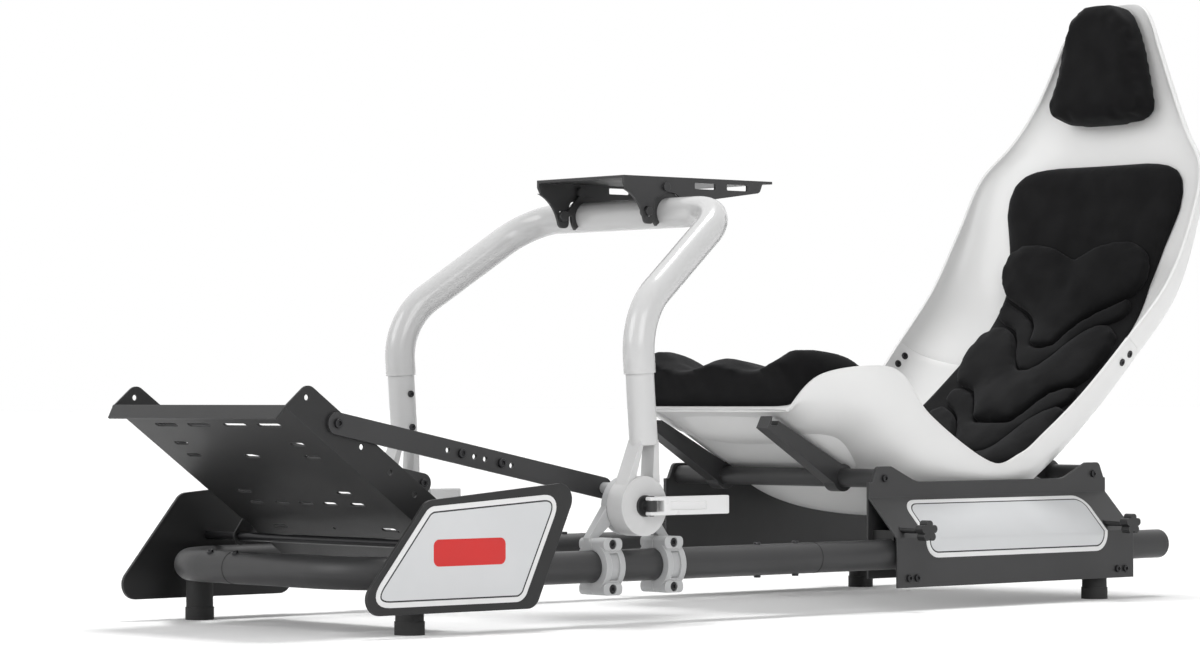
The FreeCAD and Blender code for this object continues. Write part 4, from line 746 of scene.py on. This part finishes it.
# Five stuffed lumbar pads are sewn flat and laid down the liner: shields with two lobes and a tongue, and
# wings between them. Each outline is half of one, as distance from the middle and place along the seat.
SHIELD_TOP = ((0, 11.62), (22, 11.70), (45, 11.80), (80, 11.86), (120, 11.86), (148, 11.74), (158, 11.52),
              (154, 11.32), (136, 11.12), (105, 11.0), (75, 10.88), (52, 10.74), (36, 10.56), (28, 10.40),
              (26, 10.29), (0, 10.27))
WING_UPPER = ((0, 10.24), (28, 10.26), (31, 10.40), (39, 10.54), (55, 10.70), (78, 10.84), (108, 10.96),
              (134, 11.07), (142, 10.95), (139, 10.80), (122, 10.70), (100, 10.63), (78, 10.53), (57, 10.30),
              (42, 10.08), (26, 9.90), (10, 9.83), (0, 9.82))
SHIELD_MIDDLE = ((0, 9.79), (14, 9.81), (30, 9.89), (46, 10.06), (61, 10.28), (82, 10.50), (104, 10.60),
                 (125, 10.60), (145, 10.45), (152, 10.20), (150, 9.95), (142, 9.72), (128, 9.57),
                 (104, 9.53), (82, 9.46), (66, 9.28), (53, 9.10), (42, 8.94), (0, 8.91))
WING_LOWER = ((0, 8.88), (43, 8.91), (55, 9.07), (68, 9.25), (84, 9.43), (106, 9.50), (128, 9.54),
              (138, 9.48), (138, 9.33), (126, 9.22), (104, 9.12), (84, 8.98), (70, 8.80), (58, 8.60),
              (46, 8.42), (30, 8.30), (0, 8.26))
SHIELD_LOW = ((0, 8.23), (31, 8.27), (48, 8.39), (60, 8.57), (72, 8.77), (86, 8.95), (106, 9.09), (128, 9.18),
              (146, 9.08), (150, 8.85), (146, 8.5), (130, 8.1), (100, 7.82), (60, 7.68), (0, 7.65))
LUMBAR = (("lumbar_shield_top", SHIELD_TOP, 22), ("lumbar_wing_upper", WING_UPPER, 15),
          ("lumbar_shield_middle", SHIELD_MIDDLE, 22), ("lumbar_wing_lower", WING_LOWER, 15),
          ("lumbar_shield_low", SHIELD_LOW, 20))

RUN_STEP = 0.02
run_table = [(0.0, 0.0)]
while run_table[-1][0] < CROWN - RUN_STEP:
    start = run_table[-1][0]
    length = (bowl_point(start + RUN_STEP, 0) - bowl_point(start, 0)).length
    run_table.append((start + RUN_STEP, run_table[-1][1] + length))
back_table = [(run, along) for along, run in run_table]


def sewn_pad(name, outline, thick, lift, cap):
    """A pad cut flat from an outline, stuffed, and then laid in the seat at a lift above the bowl's floor."""
    shape = bmesh.new()
    half = [(side, read_off(run_table, along)) for side, along in outline]
    loop = half + [(-side, run) for side, run in reversed(half) if side > 0]
    face = shape.faces.new([shape.verts.new((side, run, 0)) for side, run in loop])
    grown = bmesh.ops.extrude_face_region(shape, geom=[face])["geom"]
    raised = [item for item in grown if isinstance(item, bmesh.types.BMVert)]
    bmesh.ops.translate(shape, vec=(0, 0, thick), verts=raised)
    bmesh.ops.triangulate(shape, faces=shape.faces[:])
    piece = make_piece(name, shape, "seat", [suede], sharp=180)
    plump(piece, 5, cap, lambda spot: spot.z < 2.6 * MM)
    relax(piece, 7)
    for vert in piece.data.vertices:
        side, run, height = vert.co / MM
        along = read_off(back_table, run)
        up = bowl_at(along)[1]
        vert.co = (seat_point(along, side, read_off(lift, along)) + up * (height + 1)) * MM
    return piece


for name, outline, thick in LUMBAR:
    pad = sewn_pad(name, outline, thick, LINER_LIFT, 9)
    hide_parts("lumbar_pad")

# The head pad is a stuffed trapezium with round corners on the shell's upper end.
HEAD_OUTLINE = ((0, 15.94), (22, 15.93), (40, 15.88), (56, 15.77), (69, 15.60), (81, 15.36), (91, 15.10),
                (100, 14.80), (102, 14.66), (99, 14.50), (88, 14.39), (68, 14.33), (36, 14.30), (0, 14.29))
HEAD_THICK, HEAD_LIFT = 46, ((14, 8), (16, 8))
head = sewn_pad("head_rest", HEAD_OUTLINE, HEAD_THICK, HEAD_LIFT, 8)
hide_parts("head_pad")

# The cockpit stands on a plain pale studio floor under a white sky, lit softly from above and behind, with
# a weaker light ahead of the nose and a broad fill on the camera's side.
floor_sheet = bmesh.new()
bmesh.ops.create_grid(floor_sheet, x_segments=1, y_segments=1, size=60)
floor_mesh = bpy.data.meshes.new("studio_floor")
floor_sheet.to_mesh(floor_mesh)
floor_sheet.free()
floor = bpy.data.objects.new("studio_floor", floor_mesh)
bpy.context.scene.collection.objects.link(floor)
floor_white = bpy.data.materials.new("floor_white")
floor_white.use_nodes = True
tree = floor_white.node_tree
shader = tree.nodes["Principled BSDF"]
shader.inputs["Base Color"].default_value = (0.97, 0.97, 0.97, 1)
shader.inputs["Roughness"].default_value = 0.9
shader.inputs["Specular IOR Level"].default_value = 0.0
shader.inputs["Emission Color"].default_value = (1, 1, 1, 1)
path = tree.nodes.new("ShaderNodeLightPath")
tree.links.new(remap(tree, path.outputs["Is Camera Ray"], 0, 1, 0, 0.08), shader.inputs["Emission Strength"])
floor_mesh.materials.append(floor_white)

world = bpy.data.worlds.new("studio_sky")
bpy.context.scene.world = world
world.use_nodes = True
tree = world.node_tree
sky = tree.nodes["Background"]
sky.inputs["Color"].default_value = (1, 1, 1, 1)
path = tree.nodes.new("ShaderNodeLightPath")
seen = tree.nodes.new("ShaderNodeMath")
seen.operation = "MAXIMUM"
tree.links.new(path.outputs["Is Camera Ray"], seen.inputs[0])
tree.links.new(path.outputs["Is Glossy Ray"], seen.inputs[1])
clear = tree.nodes.new("ShaderNodeMath")
clear.operation = "MAXIMUM"
tree.links.new(seen.outputs[0], clear.inputs[0])
tree.links.new(path.outputs["Is Transmission Ray"], clear.inputs[1])
tree.links.new(remap(tree, clear.outputs[0], 0, 1, 0.38, 1), sky.inputs["Strength"])


def lamp(name, kind, spot, aim, energy, **settings):
    """A lamp at a spot, turned to an aim."""
    light = bpy.data.lights.new(name, kind)
    light.energy = energy
    for label, value in settings.items():
        setattr(light, label, value)
    item = bpy.data.objects.new(name, light)
    item.location = spot
    item.rotation_euler = (Vector(aim) - Vector(spot)).to_track_quat("-Z", "Y").to_euler()
    bpy.context.scene.collection.objects.link(item)


lamp("key", "SUN", (-1.2, -0.8, 4.0), (0, 0, 0), 1.8, angle=math.radians(18))
lamp("side", "SUN", (3.5, -1.2, 2.0), (0, 0, 0), 0.9, angle=math.radians(35))
lamp("fill", "AREA", (2.2, 4.2, 2.6), (-0.3, 0.2, 0.4), 78, size=3.0)

CAMERA_SPOT = (3.9453, 4.2859, 0.3205)
CAMERA_YAW, CAMERA_PITCH, CAMERA_ROLL = 0.717114, 0.018333, -0.002201
camera_data = bpy.data.cameras.new("camera")
camera_data.sensor_fit = "HORIZONTAL"
camera_data.sensor_width = 36
camera_data.lens = 115.345
camera = bpy.data.objects.new("camera", camera_data)
level_right = Vector((-math.cos(CAMERA_YAW), math.sin(CAMERA_YAW), 0))
level_ahead = Vector((-math.sin(CAMERA_YAW), -math.cos(CAMERA_YAW), 0))
ahead = level_ahead * math.cos(CAMERA_PITCH) + Vector((0, 0, math.sin(CAMERA_PITCH)))
level_up = Vector((0, 0, math.cos(CAMERA_PITCH))) - level_ahead * math.sin(CAMERA_PITCH)
right = level_right * math.cos(CAMERA_ROLL) + level_up * math.sin(CAMERA_ROLL)
up = level_up * math.cos(CAMERA_ROLL) - level_right * math.sin(CAMERA_ROLL)
camera.matrix_world = Matrix.Translation(CAMERA_SPOT) @ Matrix((right, up, -ahead)).transposed().to_4x4()
bpy.context.scene.collection.objects.link(camera)
bpy.context.scene.camera = camera
bpy.context.scene.view_settings.view_transform = "Standard"
